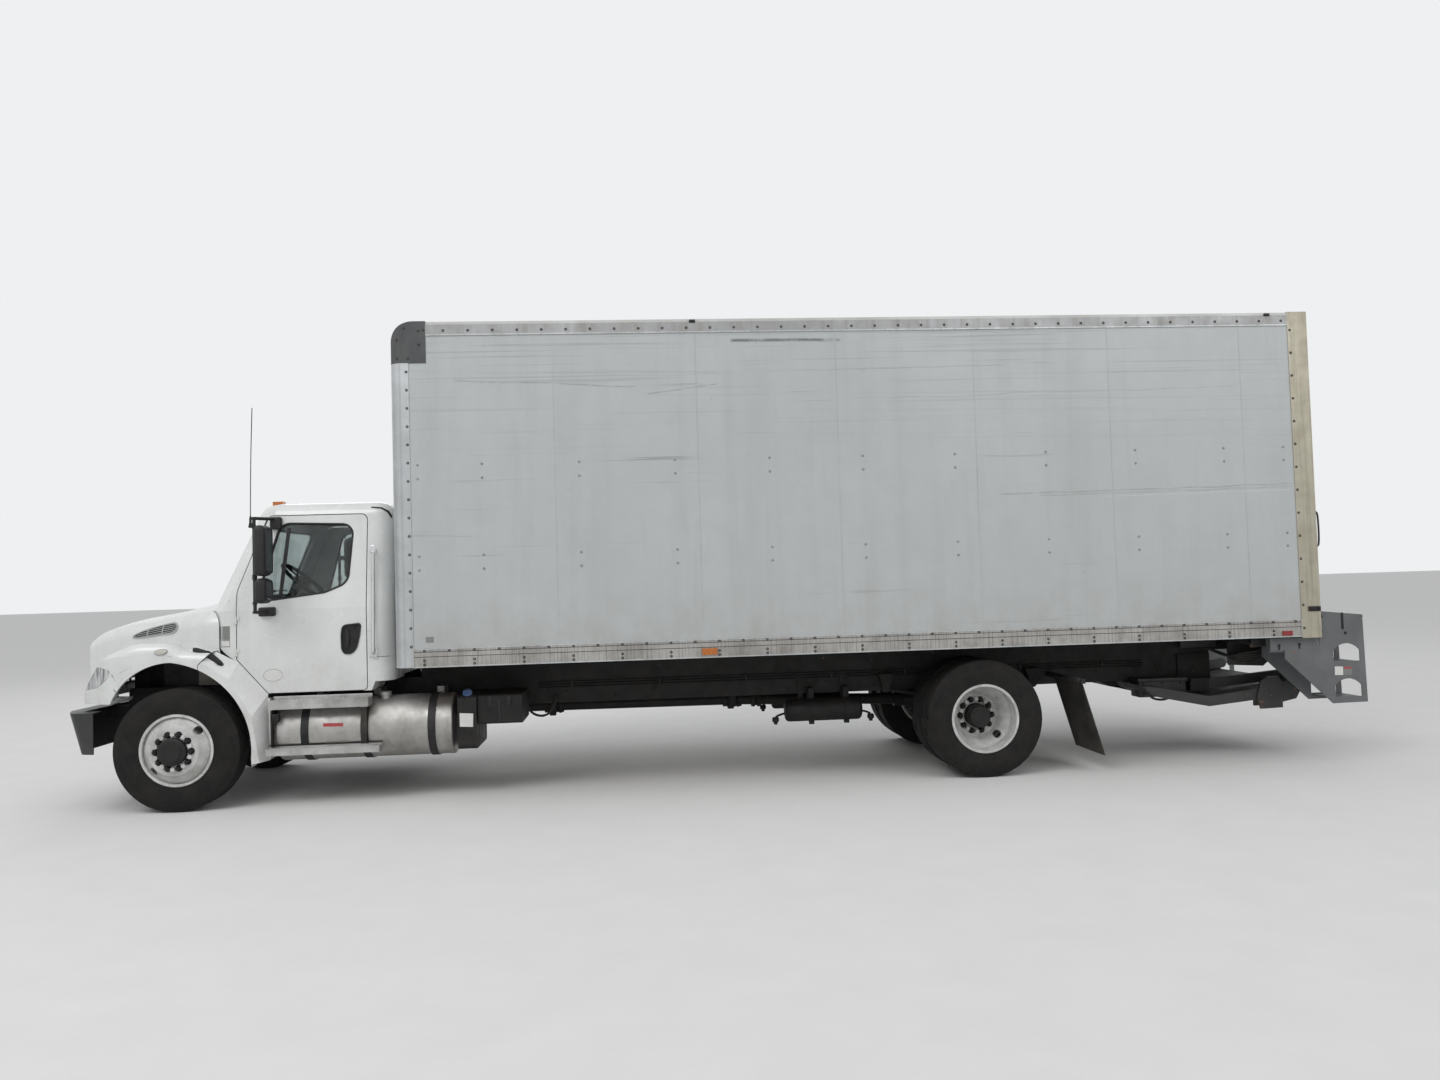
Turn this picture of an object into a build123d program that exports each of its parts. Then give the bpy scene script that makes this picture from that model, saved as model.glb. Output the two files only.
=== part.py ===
# Medium-duty box truck: conventional day cab, two axles, van body with a roll-up
# rear door, dock steps and a stowed tuck-under lift gate.
# Frame: +X forward, +Y to the truck's left, +Z up. The origin is on the ground,
# midway between the bumper's face and the rear of the dock steps.
import os
from math import atan2, cos, degrees, radians, sin

from build123d import *

os.makedirs("parts", exist_ok=True)

# Lengths along the truck, measured from the front axle
front_overhang = 945
wheelbase = 6800
cab_setback = 1735
cab_gap = 68
body_length = 8033
dock_depth = 438
overall_length = front_overhang + cab_setback + cab_gap + body_length + dock_depth
front_axle_x = overall_length / 2 - front_overhang
rear_axle_x = front_axle_x - wheelbase
bumper_face_x = front_axle_x + front_overhang
cab_back_x = front_axle_x - cab_setback
body_front_x = cab_back_x - cab_gap
body_rear_x = body_front_x - body_length
tail_x = body_rear_x - dock_depth

# Heights above the ground
tyre_radius = 507
axle_height = tyre_radius
rail_bottom_z = 700
rail_depth = 270
rail_top_z = rail_bottom_z + rail_depth
sill_height = 157
body_bottom_z = rail_top_z + sill_height
body_height = 2889
body_top_z = body_bottom_z + body_height

# Clearances
panel_gap = 8
seat_gap = 0.3
running_gap = 0.05


def station(ahead):
    """X of a place given as millimetres ahead of the front axle."""
    return front_axle_x + ahead


def side_plane(y):
    """Sketch plane seen from the right: local x is X, local y is Z, extruding towards -Y."""
    return Plane(origin=(0, y, 0), x_dir=(1, 0, 0), z_dir=(0, -1, 0))


def cross_plane(x):
    """Sketch plane across the truck: local x is Y, local y is Z, extruding towards +X."""
    return Plane(origin=(x, 0, 0), x_dir=(0, 1, 0), z_dir=(1, 0, 0))


def brick(x_range, y_range, z_range, mode=Mode.ADD):
    """A plain block between two corners, added to the part that is being made."""
    centre = tuple((low + high) / 2 for low, high in (x_range, y_range, z_range))
    size = tuple(abs(high - low) for low, high in (x_range, y_range, z_range))
    with Locations(centre):
        return Box(*size, mode=mode)


def side_disc(centre, radius, y_low, y_high, mode=Mode.ADD):
    """A cylinder across the truck between two Y positions, its centre given as X, Z."""
    with Locations(Location((centre[0], (y_low + y_high) / 2, centre[1]), (90, 0, 0))):
        return Cylinder(radius, y_high - y_low, mode=mode)


def outline(points, radius=0, inset=0):
    """A closed face through the points, its corners rounded and its edge moved in by inset."""
    with BuildSketch() as face:
        with BuildLine():
            FilletPolyline(*points, radius=radius, close=True)
        make_face()
        if inset:
            offset(amount=-inset, kind=Kind.INTERSECTION)
    return face.sketch


def side_prism(face, y_low, y_high):
    """A side-view face, made with local x, y as X, Z, carried across from y_low to y_high."""
    with BuildPart() as block:
        with BuildSketch(side_plane(y_high)):
            add(face)
        extrude(amount=y_high - y_low)
    return block.part


def cross_prism(face, x_low, x_high):
    """A front-view face, made with local x, y as Y, Z, carried along from x_low to x_high."""
    with BuildPart() as block:
        with BuildSketch(cross_plane(x_low)):
            add(face)
        extrude(amount=x_high - x_low)
    return block.part


def plan_prism(face, z_low, z_high):
    """A plan-view face carried up from z_low to z_high."""
    with BuildPart() as block:
        with BuildSketch(Plane.XY.offset(z_low)):
            add(face)
        extrude(amount=z_high - z_low)
    return block.part


def write(part, name):
    part.label = name
    export_step(part, f"parts/{name}.step")


def write_pair(left, name):
    """Writes a left-hand piece and its mirror image."""
    write(left, f"{name}_left")
    write(mirror(left, about=Plane.XZ), f"{name}_right")


def write_both(left, name):
    """Writes a piece and its mirror image as the two solids of one sub-part."""
    with BuildPart() as both:
        add(left)
        add(mirror(left, about=Plane.XZ))
    write(both.part, name)


# Chassis frame: two channel rails joined by crossmembers
rail_outer_y = 431
rail_flange = 80
rail_wall = 9
rail_front_x = station(700)
rail_rear_x = body_rear_x + 571
rail_web_y = rail_outer_y - rail_wall

with BuildPart() as rail:
    with BuildSketch(cross_plane(rail_rear_x)):
        with BuildLine():
            Polyline(
                (rail_outer_y, rail_bottom_z),
                (rail_outer_y, rail_top_z),
                (rail_outer_y - rail_flange, rail_top_z),
                (rail_outer_y - rail_flange, rail_top_z - rail_wall),
                (rail_web_y, rail_top_z - rail_wall),
                (rail_web_y, rail_bottom_z + rail_wall),
                (rail_outer_y - rail_flange, rail_bottom_z + rail_wall),
                (rail_outer_y - rail_flange, rail_bottom_z),
                close=True,
            )
        make_face()
    extrude(amount=rail_front_x - rail_rear_x)

with BuildPart() as frame_rails:
    add(rail.part)
    add(mirror(rail.part, about=Plane.XZ))
write(frame_rails.part, "frame_rails")

member_width = 70
member_clear = 14
member_places = [
    station(500),
    station(-1480),
    station(-3000),
    station(-4700),
    rear_axle_x + 700,
    rear_axle_x - 700,
    rail_rear_x + 60,
]
cab_floor_z = 1030
cab_mount_size = 76
cab_mount_stations = (station(-620), station(-1640))

with BuildPart() as crossmembers:
    for x in member_places:
        brick(
            (x - member_width / 2, x + member_width / 2),
            (-rail_web_y, rail_web_y),
            (rail_bottom_z + member_clear, rail_top_z - member_clear),
        )
        with Locations((x, 0, (rail_bottom_z + rail_top_z) / 2)):
            Box(member_width, 2 * rail_web_y - 240, rail_depth - 120, mode=Mode.SUBTRACT)
    for x in cab_mount_stations:
        for side in (-1, 1):
            with Locations((x, side * (rail_outer_y - rail_flange / 2), rail_top_z)):
                Cylinder(
                    cab_mount_size / 2,
                    cab_floor_z - rail_top_z,
                    align=(Align.CENTER, Align.CENTER, Align.MIN),
                )
write(crossmembers.part, "crossmembers")

# Front bumper: a raked, wrapped channel on two brackets, with the hood's hinge clevises
bumper_top_z = 840
bumper_bottom_z = 502
bumper_rake = 92
bumper_half = 1165
bumper_wall = 14
bumper_lip = 150
bumper_end_x = station(650)


def bumper_face(front_x, inset, z):
    half = bumper_half - inset
    with BuildSketch(Plane.XY.offset(z)) as face:
        with BuildLine():
            FilletPolyline(
                (bumper_end_x, -half),
                (front_x - 95 - inset, -half + 30),
                (front_x - inset, -half + 250),
                (front_x - inset, half - 250),
                (front_x - 95 - inset, half - 30),
                (bumper_end_x, half),
                (bumper_end_x, 0),
                radius=[0, 100, 200, 200, 100, 0, 0],
                close=True,
            )
        make_face()
    return face.sketch


def bumper_mass(inset, over):
    with BuildPart() as mass:
        add(bumper_face(bumper_face_x - bumper_rake, inset, bumper_bottom_z - over))
        add(bumper_face(bumper_face_x, inset, bumper_top_z - inset))
        loft(ruled=True)
    return mass.part


bracket_y = (rail_outer_y - rail_wall - 14, rail_outer_y - rail_wall)
hood_pivot = (station(870), 880)
hood_lug_y = (300, 312)
hood_lug_radius = 20
hood_pin_radius = 10
clevis_gap = 5
clevis_wall = 8

with BuildPart() as front_bumper:
    add(bumper_mass(0, 0))
    add(bumper_mass(bumper_wall, 1), mode=Mode.SUBTRACT)
    brick(
        (bumper_end_x - 60, bumper_face_x - bumper_lip),
        (-bumper_half + bumper_lip, bumper_half - bumper_lip),
        (0, bumper_top_z + 10),
        mode=Mode.SUBTRACT,
    )
    for side in (-1, 1):
        brick(
            (rail_front_x - 140, bumper_face_x - bumper_wall - 40),
            (side * bracket_y[0], side * bracket_y[1]),
            (rail_bottom_z + 30, bumper_top_z - bumper_wall),
        )
    clevis_inner_y = hood_lug_y[0] - clevis_gap - clevis_wall
    clevis_outer_y = hood_lug_y[1] + clevis_gap
    for side in (-1, 1):
        for y in (clevis_inner_y, clevis_outer_y):
            brick(
                (hood_pivot[0] - 20, hood_pivot[0] + 20),
                (side * y, side * (y + clevis_wall)),
                (bumper_top_z - 5, hood_pivot[1] + 14),
            )
        ends = sorted((side * clevis_inner_y, side * (clevis_outer_y + clevis_wall)))
        side_disc(hood_pivot, hood_pin_radius, *ends)
write(front_bumper.part, "front_bumper")

# Wheels
tyre_width = 280
tread_half = 112
rim_radius = 298
seat_radius = 285
flange_half = 118
flange_wall = 9
rim_wall = 8
front_track_half = 1035
dual_centre_y = 921
dual_spacing = 342
kingpin_y = 880
hub_radius = 112
stud_circle_radius = 142.9
stud_count = 10
drum_radius = 205
disc_offset = 158
hand_hole_circle = 238
hand_hole_length = 72
hand_hole_width = 54
disc_wall = 12
spindle_radius = 40


def wheel_plane(axle_x):
    """Sketch plane through an axle: local x is Y, local y is the height above the axle."""
    return Plane(origin=(axle_x, 0, axle_height), x_dir=(0, 1, 0), z_dir=(1, 0, 0))


def axle_axis(axle_x):
    return Axis((axle_x, 0, axle_height), (0, 1, 0))


def tyre(axle_x, y):
    """A tyre as one closed ring, its bead between the rim's flanges."""
    bead = flange_half - flange_wall
    with BuildPart() as ring:
        with BuildSketch(wheel_plane(axle_x)):
            with BuildLine():
                FilletPolyline(
                    (y - bead, seat_radius),
                    (y - bead, rim_radius),
                    (y - flange_half - 4, rim_radius),
                    (y - tyre_width / 2, 390),
                    (y - tyre_width / 2 + 4, 450),
                    (y - tread_half, tyre_radius),
                    (y + tread_half, tyre_radius),
                    (y + tyre_width / 2 - 4, 450),
                    (y + tyre_width / 2, 390),
                    (y + flange_half + 4, rim_radius),
                    (y + bead, rim_radius),
                    (y + bead, seat_radius),
                    radius=[0, 0, 0, 50, 50, 26, 26, 50, 50, 0, 0, 0],
                    close=True,
                )
            make_face()
        revolve(axis=axle_axis(axle_x))
    return ring.part


def rim_and_disc(axle_x, y, facing):
    """A flanged rim with its dished disc; facing is the side, +1 or -1, that the disc bulges to."""
    face_y = y + facing * disc_offset
    shoulder_y = y + facing * 40
    with BuildPart() as wheel:
        with BuildSketch(wheel_plane(axle_x)):
            with BuildLine():
                Polyline(
                    (y - flange_half, seat_radius - rim_wall),
                    (y - flange_half, rim_radius),
                    (y - flange_half + flange_wall, rim_radius),
                    (y - flange_half + flange_wall, seat_radius),
                    (y + flange_half - flange_wall, seat_radius),
                    (y + flange_half - flange_wall, rim_radius),
                    (y + flange_half, rim_radius),
                    (y + flange_half, seat_radius - rim_wall),
                    close=True,
                )
            make_face()
            with BuildLine():
                Polyline(
                    (shoulder_y, seat_radius - rim_wall / 2),
                    (shoulder_y + facing * 34, seat_radius - rim_wall / 2),
                    (face_y + facing * disc_wall, 198),
                    (face_y + facing * disc_wall, hub_radius),
                    (face_y, hub_radius),
                    (face_y, 190),
                    close=True,
                )
            make_face()
        revolve(axis=axle_axis(axle_x))
    return wheel.part


def hand_holes(axle_x, y, facing, first_angle):
    """Cutters for the two oval openings in a disc's cone."""
    with BuildPart() as holes:
        for angle in (first_angle, first_angle + 180):
            across = cos(radians(angle))
            up = sin(radians(angle))
            place = Plane(
                origin=(
                    axle_x + hand_hole_circle * across,
                    y + facing * (disc_offset / 2 + 20),
                    axle_height + hand_hole_circle * up,
                ),
                x_dir=(-up, 0, across),
                z_dir=(0, 1, 0),
            )
            with BuildSketch(place):
                SlotOverall(hand_hole_length, hand_hole_width)
            extrude(amount=75, both=True)
    return holes.part


def stud_ring(axle_x, y_low, y_high, radius):
    """The wheel nuts as plain hexagons between two faces."""
    with BuildPart() as nuts:
        with BuildSketch(Plane(origin=(axle_x, y_high, axle_height), z_dir=(0, -1, 0))):
            with PolarLocations(stud_circle_radius, stud_count):
                RegularPolygon(radius, 6)
        extrude(amount=y_high - y_low)
    return nuts.part


# Front wheel: disc bulging outwards over the hub, drum inside
front_disc_y = front_track_half + disc_offset
hub_bore_radius = spindle_radius + seat_gap
nut_radius = 19
nut_height = 26

with BuildPart() as front_tyre:
    add(tyre(front_axle_x, front_track_half))
write_pair(front_tyre.part, "tyre_front")

with BuildPart() as front_rim:
    add(rim_and_disc(front_axle_x, front_track_half, 1))
    add(hand_holes(front_axle_x, front_track_half, 1, 138), mode=Mode.SUBTRACT)
    with BuildSketch(wheel_plane(front_axle_x)):
        with BuildLine():
            Polyline(
                (980, hub_bore_radius),
                (980, drum_radius),
                (1130, drum_radius),
                (front_disc_y, 175),
                (front_disc_y, hub_radius),
                (front_disc_y + 48, hub_radius),
                (front_disc_y + 60, hub_radius - 14),
                (front_disc_y + 60, 0),
                (1150, 0),
                (1150, hub_bore_radius),
                close=True,
            )
        make_face()
    revolve(axis=axle_axis(front_axle_x))
    disc_face_y = front_disc_y + disc_wall
    add(stud_ring(front_axle_x, disc_face_y, disc_face_y + nut_height, nut_radius))
write_pair(front_rim.part, "wheel_front")

# Rear wheels: two rims clamped back to back on each hub
outer_dual_y = dual_centre_y + dual_spacing / 2
inner_dual_y = dual_centre_y - dual_spacing / 2
rear_spindle_radius = 45

with BuildPart() as rear_tyres:
    add(tyre(rear_axle_x, outer_dual_y))
    add(tyre(rear_axle_x, inner_dual_y))
write_pair(rear_tyres.part, "tyres_rear")

with BuildPart() as rear_rims:
    add(rim_and_disc(rear_axle_x, outer_dual_y, -1))
    add(hand_holes(rear_axle_x, outer_dual_y, -1, 45), mode=Mode.SUBTRACT)
    add(rim_and_disc(rear_axle_x, inner_dual_y, 1))
    with BuildSketch(wheel_plane(rear_axle_x)):
        with BuildLine():
            Polyline(
                (680, rear_spindle_radius + seat_gap),
                (680, drum_radius),
                (870, drum_radius),
                (910, 180),
                (dual_centre_y + 14, 180),
                (dual_centre_y + 14, 105),
                (1020, 105),
                (1030, 92),
                (1064, 92),
                (1072, 84),
                (1072, 0),
                (1050, 0),
                (1050, rear_spindle_radius + seat_gap),
                close=True,
            )
        make_face()
    revolve(axis=axle_axis(rear_axle_x))
    add(stud_ring(rear_axle_x, dual_centre_y + 10, dual_centre_y + 50, nut_radius))
write_pair(rear_rims.part, "wheels_rear")

# Front axle: dropped I-beam with a boss at each kingpin
beam_depth = 96
beam_width = 92
beam_drop_z = 375
boss_radius = 44
boss_half = 58
kingpin_radius = 22

with BuildPart() as front_axle:
    with BuildSketch(cross_plane(front_axle_x - beam_width / 2)):
        with BuildLine():
            FilletPolyline(
                (-kingpin_y, axle_height + 40),
                (-740, axle_height + 40),
                (-580, beam_drop_z + beam_depth),
                (580, beam_drop_z + beam_depth),
                (740, axle_height + 40),
                (kingpin_y, axle_height + 40),
                (kingpin_y, axle_height - 40),
                (760, axle_height - 40),
                (600, beam_drop_z),
                (-600, beam_drop_z),
                (-760, axle_height - 40),
                (-kingpin_y, axle_height - 40),
                radius=[0, 60, 60, 60, 60, 0, 0, 60, 60, 60, 60, 0],
                close=True,
            )
        make_face()
    extrude(amount=beam_width)
    for side in (-1, 1):
        brick(
            (front_axle_x + side * 14, front_axle_x + side * beam_width),
            (-520, 520),
            (beam_drop_z + 20, beam_drop_z + beam_depth - 20),
            mode=Mode.SUBTRACT,
        )
        with Locations((front_axle_x, side * kingpin_y, axle_height)):
            Cylinder(boss_radius, 2 * boss_half)
    for side in (-1, 1):
        with Locations((front_axle_x, side * kingpin_y, axle_height)):
            Cylinder(kingpin_radius + running_gap, 300, mode=Mode.SUBTRACT)
write(front_axle.part, "front_axle")

# Steering knuckle: a fork round the boss, its kingpin, spindle, brake plate and tie arm
fork_plate = 30
fork_reach = 58
tie_arm_length = 180
tie_rod_z = axle_height - boss_half - 2 - fork_plate
tie_rod_radius = 19
tie_ball_radius = 26

with BuildPart() as knuckle:
    for side in (-1, 1):
        near = side * (boss_half + seat_gap)
        far = side * (boss_half + fork_plate)
        with BuildSketch(Plane.XY.offset(axle_height + min(near, far))):
            with Locations((front_axle_x, kingpin_y)):
                Circle(boss_radius)
            with Locations((front_axle_x, kingpin_y + fork_reach / 2 + 8)):
                Rectangle(2 * boss_radius, fork_reach + 16)
        extrude(amount=abs(far - near))
    fork_height = 2 * (boss_half + fork_plate)
    brick(
        (front_axle_x - boss_radius, front_axle_x + boss_radius),
        (kingpin_y + boss_radius + 6, kingpin_y + fork_reach + 16),
        (axle_height - fork_height / 2, axle_height + fork_height / 2),
    )
    with Locations((front_axle_x, kingpin_y, axle_height)):
        Cylinder(kingpin_radius, fork_height)
    with BuildSketch(Plane(origin=(front_axle_x, kingpin_y + 60, axle_height), z_dir=(0, 1, 0))):
        Circle(spindle_radius)
    extrude(amount=1140 - kingpin_y - 60)
    with BuildSketch(Plane(origin=(front_axle_x, kingpin_y + 70, axle_height), z_dir=(0, 1, 0))):
        Circle(190)
    extrude(amount=10)
    brick(
        (front_axle_x - tie_arm_length, front_axle_x),
        (kingpin_y - 20, kingpin_y + 20),
        (tie_rod_z, tie_rod_z + fork_plate),
    )
    with Locations((front_axle_x - tie_arm_length, kingpin_y, tie_rod_z)):
        Cylinder(30, fork_plate, align=(Align.CENTER, Align.CENTER, Align.MIN))
write_pair(knuckle.part, "knuckle")

tie_rod_x = front_axle_x - tie_arm_length
with BuildPart() as tie_rod:
    rod_z = tie_rod_z - tie_ball_radius - seat_gap
    with BuildSketch(Plane(origin=(tie_rod_x, -kingpin_y, rod_z), z_dir=(0, 1, 0))):
        Circle(tie_rod_radius)
    extrude(amount=2 * kingpin_y)
    for side in (-1, 1):
        with Locations((tie_rod_x, side * kingpin_y, rod_z)):
            Cylinder(tie_ball_radius + 3, 2 * tie_ball_radius)
write(tie_rod.part, "tie_rod")

# Rear axle: tube, banjo and spindles
axle_tube_radius = 70
banjo_radius = 215
pinion_nose_x = rear_axle_x + 430

with BuildPart() as rear_axle:
    with BuildSketch(wheel_plane(rear_axle_x)):
        with BuildLine():
            Polyline(
                (-1040, 0),
                (-1040, rear_spindle_radius),
                (-660, rear_spindle_radius),
                (-660, 120),
                (-640, 120),
                (-640, axle_tube_radius),
                (-260, axle_tube_radius),
                (-150, 150),
                (-110, banjo_radius),
                (110, banjo_radius),
                (150, 150),
                (260, axle_tube_radius),
                (640, axle_tube_radius),
                (640, 120),
                (660, 120),
                (660, rear_spindle_radius),
                (1040, rear_spindle_radius),
                (1040, 0),
                close=True,
            )
        make_face()
    revolve(axis=axle_axis(rear_axle_x))
    with BuildSketch(cross_plane(rear_axle_x + 60)):
        with Locations((0, axle_height + 30)):
            Circle(150)
    with BuildSketch(cross_plane(pinion_nose_x)):
        with Locations((0, axle_height + 60)):
            Circle(70)
    loft()
write(rear_axle.part, "rear_axle")

# Leaf springs with their hangers: front packs under the rails, rear packs beside them
leaf_width = 74
front_leaf_y = (rail_outer_y - leaf_width - 2, rail_outer_y - 2)
rear_leaf_y = (rail_outer_y, rail_outer_y + 78)
beam_top_z = beam_drop_z + beam_depth
tube_top_z = axle_height + axle_tube_radius


def leaf_spring(axle_x, seat_z, eye_z, hanger_top_z, half_length, pack, y_range):
    """A bowed pack seated on the axle, with a hanger at its front and a shackle at its rear."""
    with BuildPart() as spring:
        with BuildSketch(side_plane(y_range[1])):
            with BuildLine():
                ThreePointArc(
                    (axle_x + half_length, eye_z),
                    (axle_x, seat_z + pack),
                    (axle_x - half_length, eye_z),
                )
                Line((axle_x - half_length, eye_z), (axle_x - half_length, eye_z - 14))
                Line((axle_x - half_length, eye_z - 14), (axle_x - 120, seat_z))
                Line((axle_x - 120, seat_z), (axle_x + 120, seat_z))
                Line((axle_x + 120, seat_z), (axle_x + half_length, eye_z - 14))
                Line((axle_x + half_length, eye_z - 14), (axle_x + half_length, eye_z))
            make_face()
            for end in (-1, 1):
                with Locations((axle_x + end * half_length, eye_z)):
                    Circle(34)
                with BuildLine():
                    Polyline(
                        (axle_x + end * half_length - 30, eye_z),
                        (axle_x + end * half_length + 30, eye_z),
                        (axle_x + end * half_length + 70, hanger_top_z),
                        (axle_x + end * half_length - 70, hanger_top_z),
                        close=True,
                    )
                make_face()
        extrude(amount=y_range[1] - y_range[0])
    return spring.part


with BuildPart() as leaf_springs:
    front_pack = leaf_spring(
        front_axle_x, beam_top_z, rail_bottom_z - 60, rail_bottom_z, 640, 64, front_leaf_y
    )
    rear_pack = leaf_spring(
        rear_axle_x, tube_top_z, rail_bottom_z + 20, rail_bottom_z + 160, 700, 90, rear_leaf_y
    )
    for pack in (front_pack, rear_pack):
        add(pack)
        add(mirror(pack, about=Plane.XZ))
write(leaf_springs.part, "leaf_springs")

# Engine with its gearbox, and the radiator ahead of it
engine_half = 310
engine_front_x = station(450)
engine_rear_x = station(-215)
gearbox_rear_x = station(-1330)
shaft_radius = 52
gearbox_z = 640

with BuildPart() as engine:
    with BuildSketch(cross_plane(engine_rear_x)):
        with BuildLine():
            FilletPolyline(
                (-190, 590),
                (190, 590),
                (engine_half, 800),
                (engine_half, 1290),
                (-engine_half, 1290),
                (-engine_half, 800),
                radius=30,
                close=True,
            )
        make_face()
    extrude(amount=engine_front_x - engine_rear_x)
    with BuildSketch(cross_plane(engine_rear_x)):
        with Locations((0, gearbox_z)):
            Circle(225)
    with BuildSketch(cross_plane(station(-560))):
        with Locations((0, gearbox_z)):
            Circle(170)
    loft()
    with BuildSketch(cross_plane(gearbox_rear_x)):
        with Locations((0, gearbox_z)):
            RectangleRounded(320, 300, 60)
    extrude(amount=station(-555) - gearbox_rear_x)
    for side in (-1, 1):
        brick(
            (station(-60), station(60)),
            (side * (engine_half - 30), side * rail_web_y),
            (rail_bottom_z + 60, rail_bottom_z + 180),
        )
write(engine.part, "engine")

with BuildPart() as radiator:
    brick((station(560), station(690)), (-345, 345), (rail_bottom_z + 40, 1300))
    brick((station(640), station(690)), (-rail_web_y, rail_web_y), (rail_top_z - 120, rail_top_z - 60))
    brick(
        (station(655), station(680)),
        (-330, 330),
        (rail_bottom_z + 70, 1270),
        mode=Mode.SUBTRACT,
    )
    brick((station(668), station(680)), (-330, 330), (rail_bottom_z + 70, 1270))
write(radiator.part, "radiator")

# Driveshaft: three tubes with yokes, the joints hung below the rails
pinion_z = axle_height + 60
shaft_points = [
    (gearbox_rear_x, gearbox_z),
    (station(-3000), 632),
    (station(-4700), 624),
    (pinion_nose_x, pinion_z),
]
yoke_radius = 68
yoke_length = 90

with BuildPart() as driveshaft:
    for (x0, z0), (x1, z1) in zip(shaft_points, shaft_points[1:]):
        run = Vector(x1 - x0, 0, z1 - z0)
        for radius, start, length in (
            (shaft_radius, 0, run.length),
            (yoke_radius, 0, yoke_length),
            (yoke_radius, run.length - yoke_length, yoke_length),
        ):
            foot = Vector(x0, 0, z0) + run.normalized() * start
            with BuildSketch(Plane(origin=foot, z_dir=run)):
                Circle(radius)
            extrude(amount=length)
    for x, z in shaft_points[1:-1]:
        brick(
            (x - 25, x + 25),
            (-110, 110),
            (z - 60, rail_bottom_z + member_clear - seat_gap),
        )
    split(bisect_by=Plane(origin=(gearbox_rear_x, 0, 0), z_dir=(-1, 0, 0)), keep=Keep.TOP)
    split(bisect_by=Plane(origin=(pinion_nose_x, 0, 0), z_dir=(1, 0, 0)), keep=Keep.TOP)
write(driveshaft.part, "driveshaft")

# Cab: outlines in plan at the sill, belt and roof, joined by ruled walls
belt_z = 1640
roof_z = 2545
sill_z = 935
cab_half = 1060
cab_roof_half = 945
cab_corner = 150
cowl_x = station(-150)
cowl_bow = 65
roof_front_x = station(-570)
roof_radius = 130
wall = 55
door_toe = (station(-705), sill_z)
door_knee = (station(-467), 1206)
cowl_foot = (station(-300), 1330)
rear_floor_z = 1010
tunnel_half = 620


def cab_plan(front_x, bow, pillar_y, half, inset):
    """The cab's outline at one height: bowed front, angled front corners, rounded rear corners."""
    side_x = front_x - bow - 140
    with BuildSketch() as face:
        with BuildLine():
            ThreePointArc((front_x - bow, -pillar_y), (front_x, 0), (front_x - bow, pillar_y))
            FilletPolyline(
                (front_x - bow, pillar_y),
                (side_x, half),
                (cab_back_x, half),
                (cab_back_x, -half),
                (side_x, -half),
                (front_x - bow, -pillar_y),
                radius=[130, cab_corner, cab_corner, 130],
            )
        make_face()
        if inset:
            offset(amount=-inset, kind=Kind.INTERSECTION)
    return face.sketch


def cab_upper(inset):
    """Glasshouse and roof, its walls moved in by inset."""
    with BuildPart() as upper:
        with BuildSketch(Plane.XY.offset(belt_z)):
            add(cab_plan(cowl_x, cowl_bow, 880, cab_half, inset))
        with BuildSketch(Plane.XY.offset(roof_z)):
            add(cab_plan(roof_front_x, 60, 800, cab_roof_half, inset))
        loft(ruled=True)
        if inset > 0:
            with Locations((cab_back_x + 900, 0, roof_z)):
                Box(4000, 4000, 2 * inset, mode=Mode.SUBTRACT)
        rim = upper.faces().sort_by(Axis.Z)[-1].edges()
        fillet(rim, max(roof_radius - inset, 20))
    return upper.part


def cab_lower(inset, open_floor=False):
    """Door-height part of the cab. With open_floor the underside isn't moved in."""
    low = 100 if open_floor else 0
    points = [
        (cab_back_x, rear_floor_z - low),
        (cab_back_x + 145, rear_floor_z - low),
        (cab_back_x + 175, sill_z - low),
        (door_toe[0], sill_z - low),
        (door_knee[0], door_knee[1] - low),
        (cowl_foot[0], cowl_foot[1] - low),
        (cowl_x + 20, cowl_foot[1] - low),
        (cowl_x + 20, belt_z + inset),
        (cab_back_x, belt_z + inset),
    ]
    with BuildPart() as lower:
        add(side_prism(outline(points, 0, inset), -cab_half, cab_half))
        plan = plan_prism(
            cab_plan(cowl_x, cowl_bow, 880, cab_half, inset), sill_z - 200, belt_z
        )
        add(plan, mode=Mode.INTERSECT)
        if not open_floor:
            brick(
                (cab_back_x - 10, cowl_x + 10),
                (-tunnel_half - inset, tunnel_half + inset),
                (0, cab_floor_z + inset),
                mode=Mode.SUBTRACT,
            )
    return lower.part


def cab_mass(inset, open_floor=False):
    with BuildPart() as mass:
        add(cab_lower(inset, open_floor))
        add(cab_upper(inset))
    return mass.part


cab_outer = cab_mass(0)
cab_inner = cab_mass(wall)
cab_inner_open = cab_mass(wall, open_floor=True)

door_outline = [
    (station(-455), 1228),
    (door_toe[0] - 4, sill_z),
    (station(-1530), sill_z),
    (station(-1530), 2442),
    (station(-688), 2442),
    (station(-455), 1800),
]
door_corners = [20, 30, 40, 60, 70, 220]
window_outline = [
    (station(-612), 1705),
    (station(-1180), 1772),
    (station(-1372), 1850),
    (station(-1412), 2350),
    (station(-805), 2372),
]
window_corners = [40, 100, 120, 90, 110]
windscreen_outline = [(-862, 1672), (862, 1672), (762, 2360), (-762, 2360)]
rear_glass_outline = [(-520, 1800), (520, 1800), (490, 2250), (-490, 2250)]

opening_zone = side_prism(outline(door_outline, door_corners), 0, cab_half + 20)
door_zone = side_prism(outline(door_outline, door_corners, panel_gap), 0, cab_half + 20)
window_zone = side_prism(outline(window_outline, window_corners), 0, cab_half + 20)
windscreen_zone = cross_prism(
    outline(windscreen_outline, 90), station(-750), station(0)
)
rear_glass_zone = cross_prism(
    outline(rear_glass_outline, 60), cab_back_x - 10, cab_back_x + wall + 40
)

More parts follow.
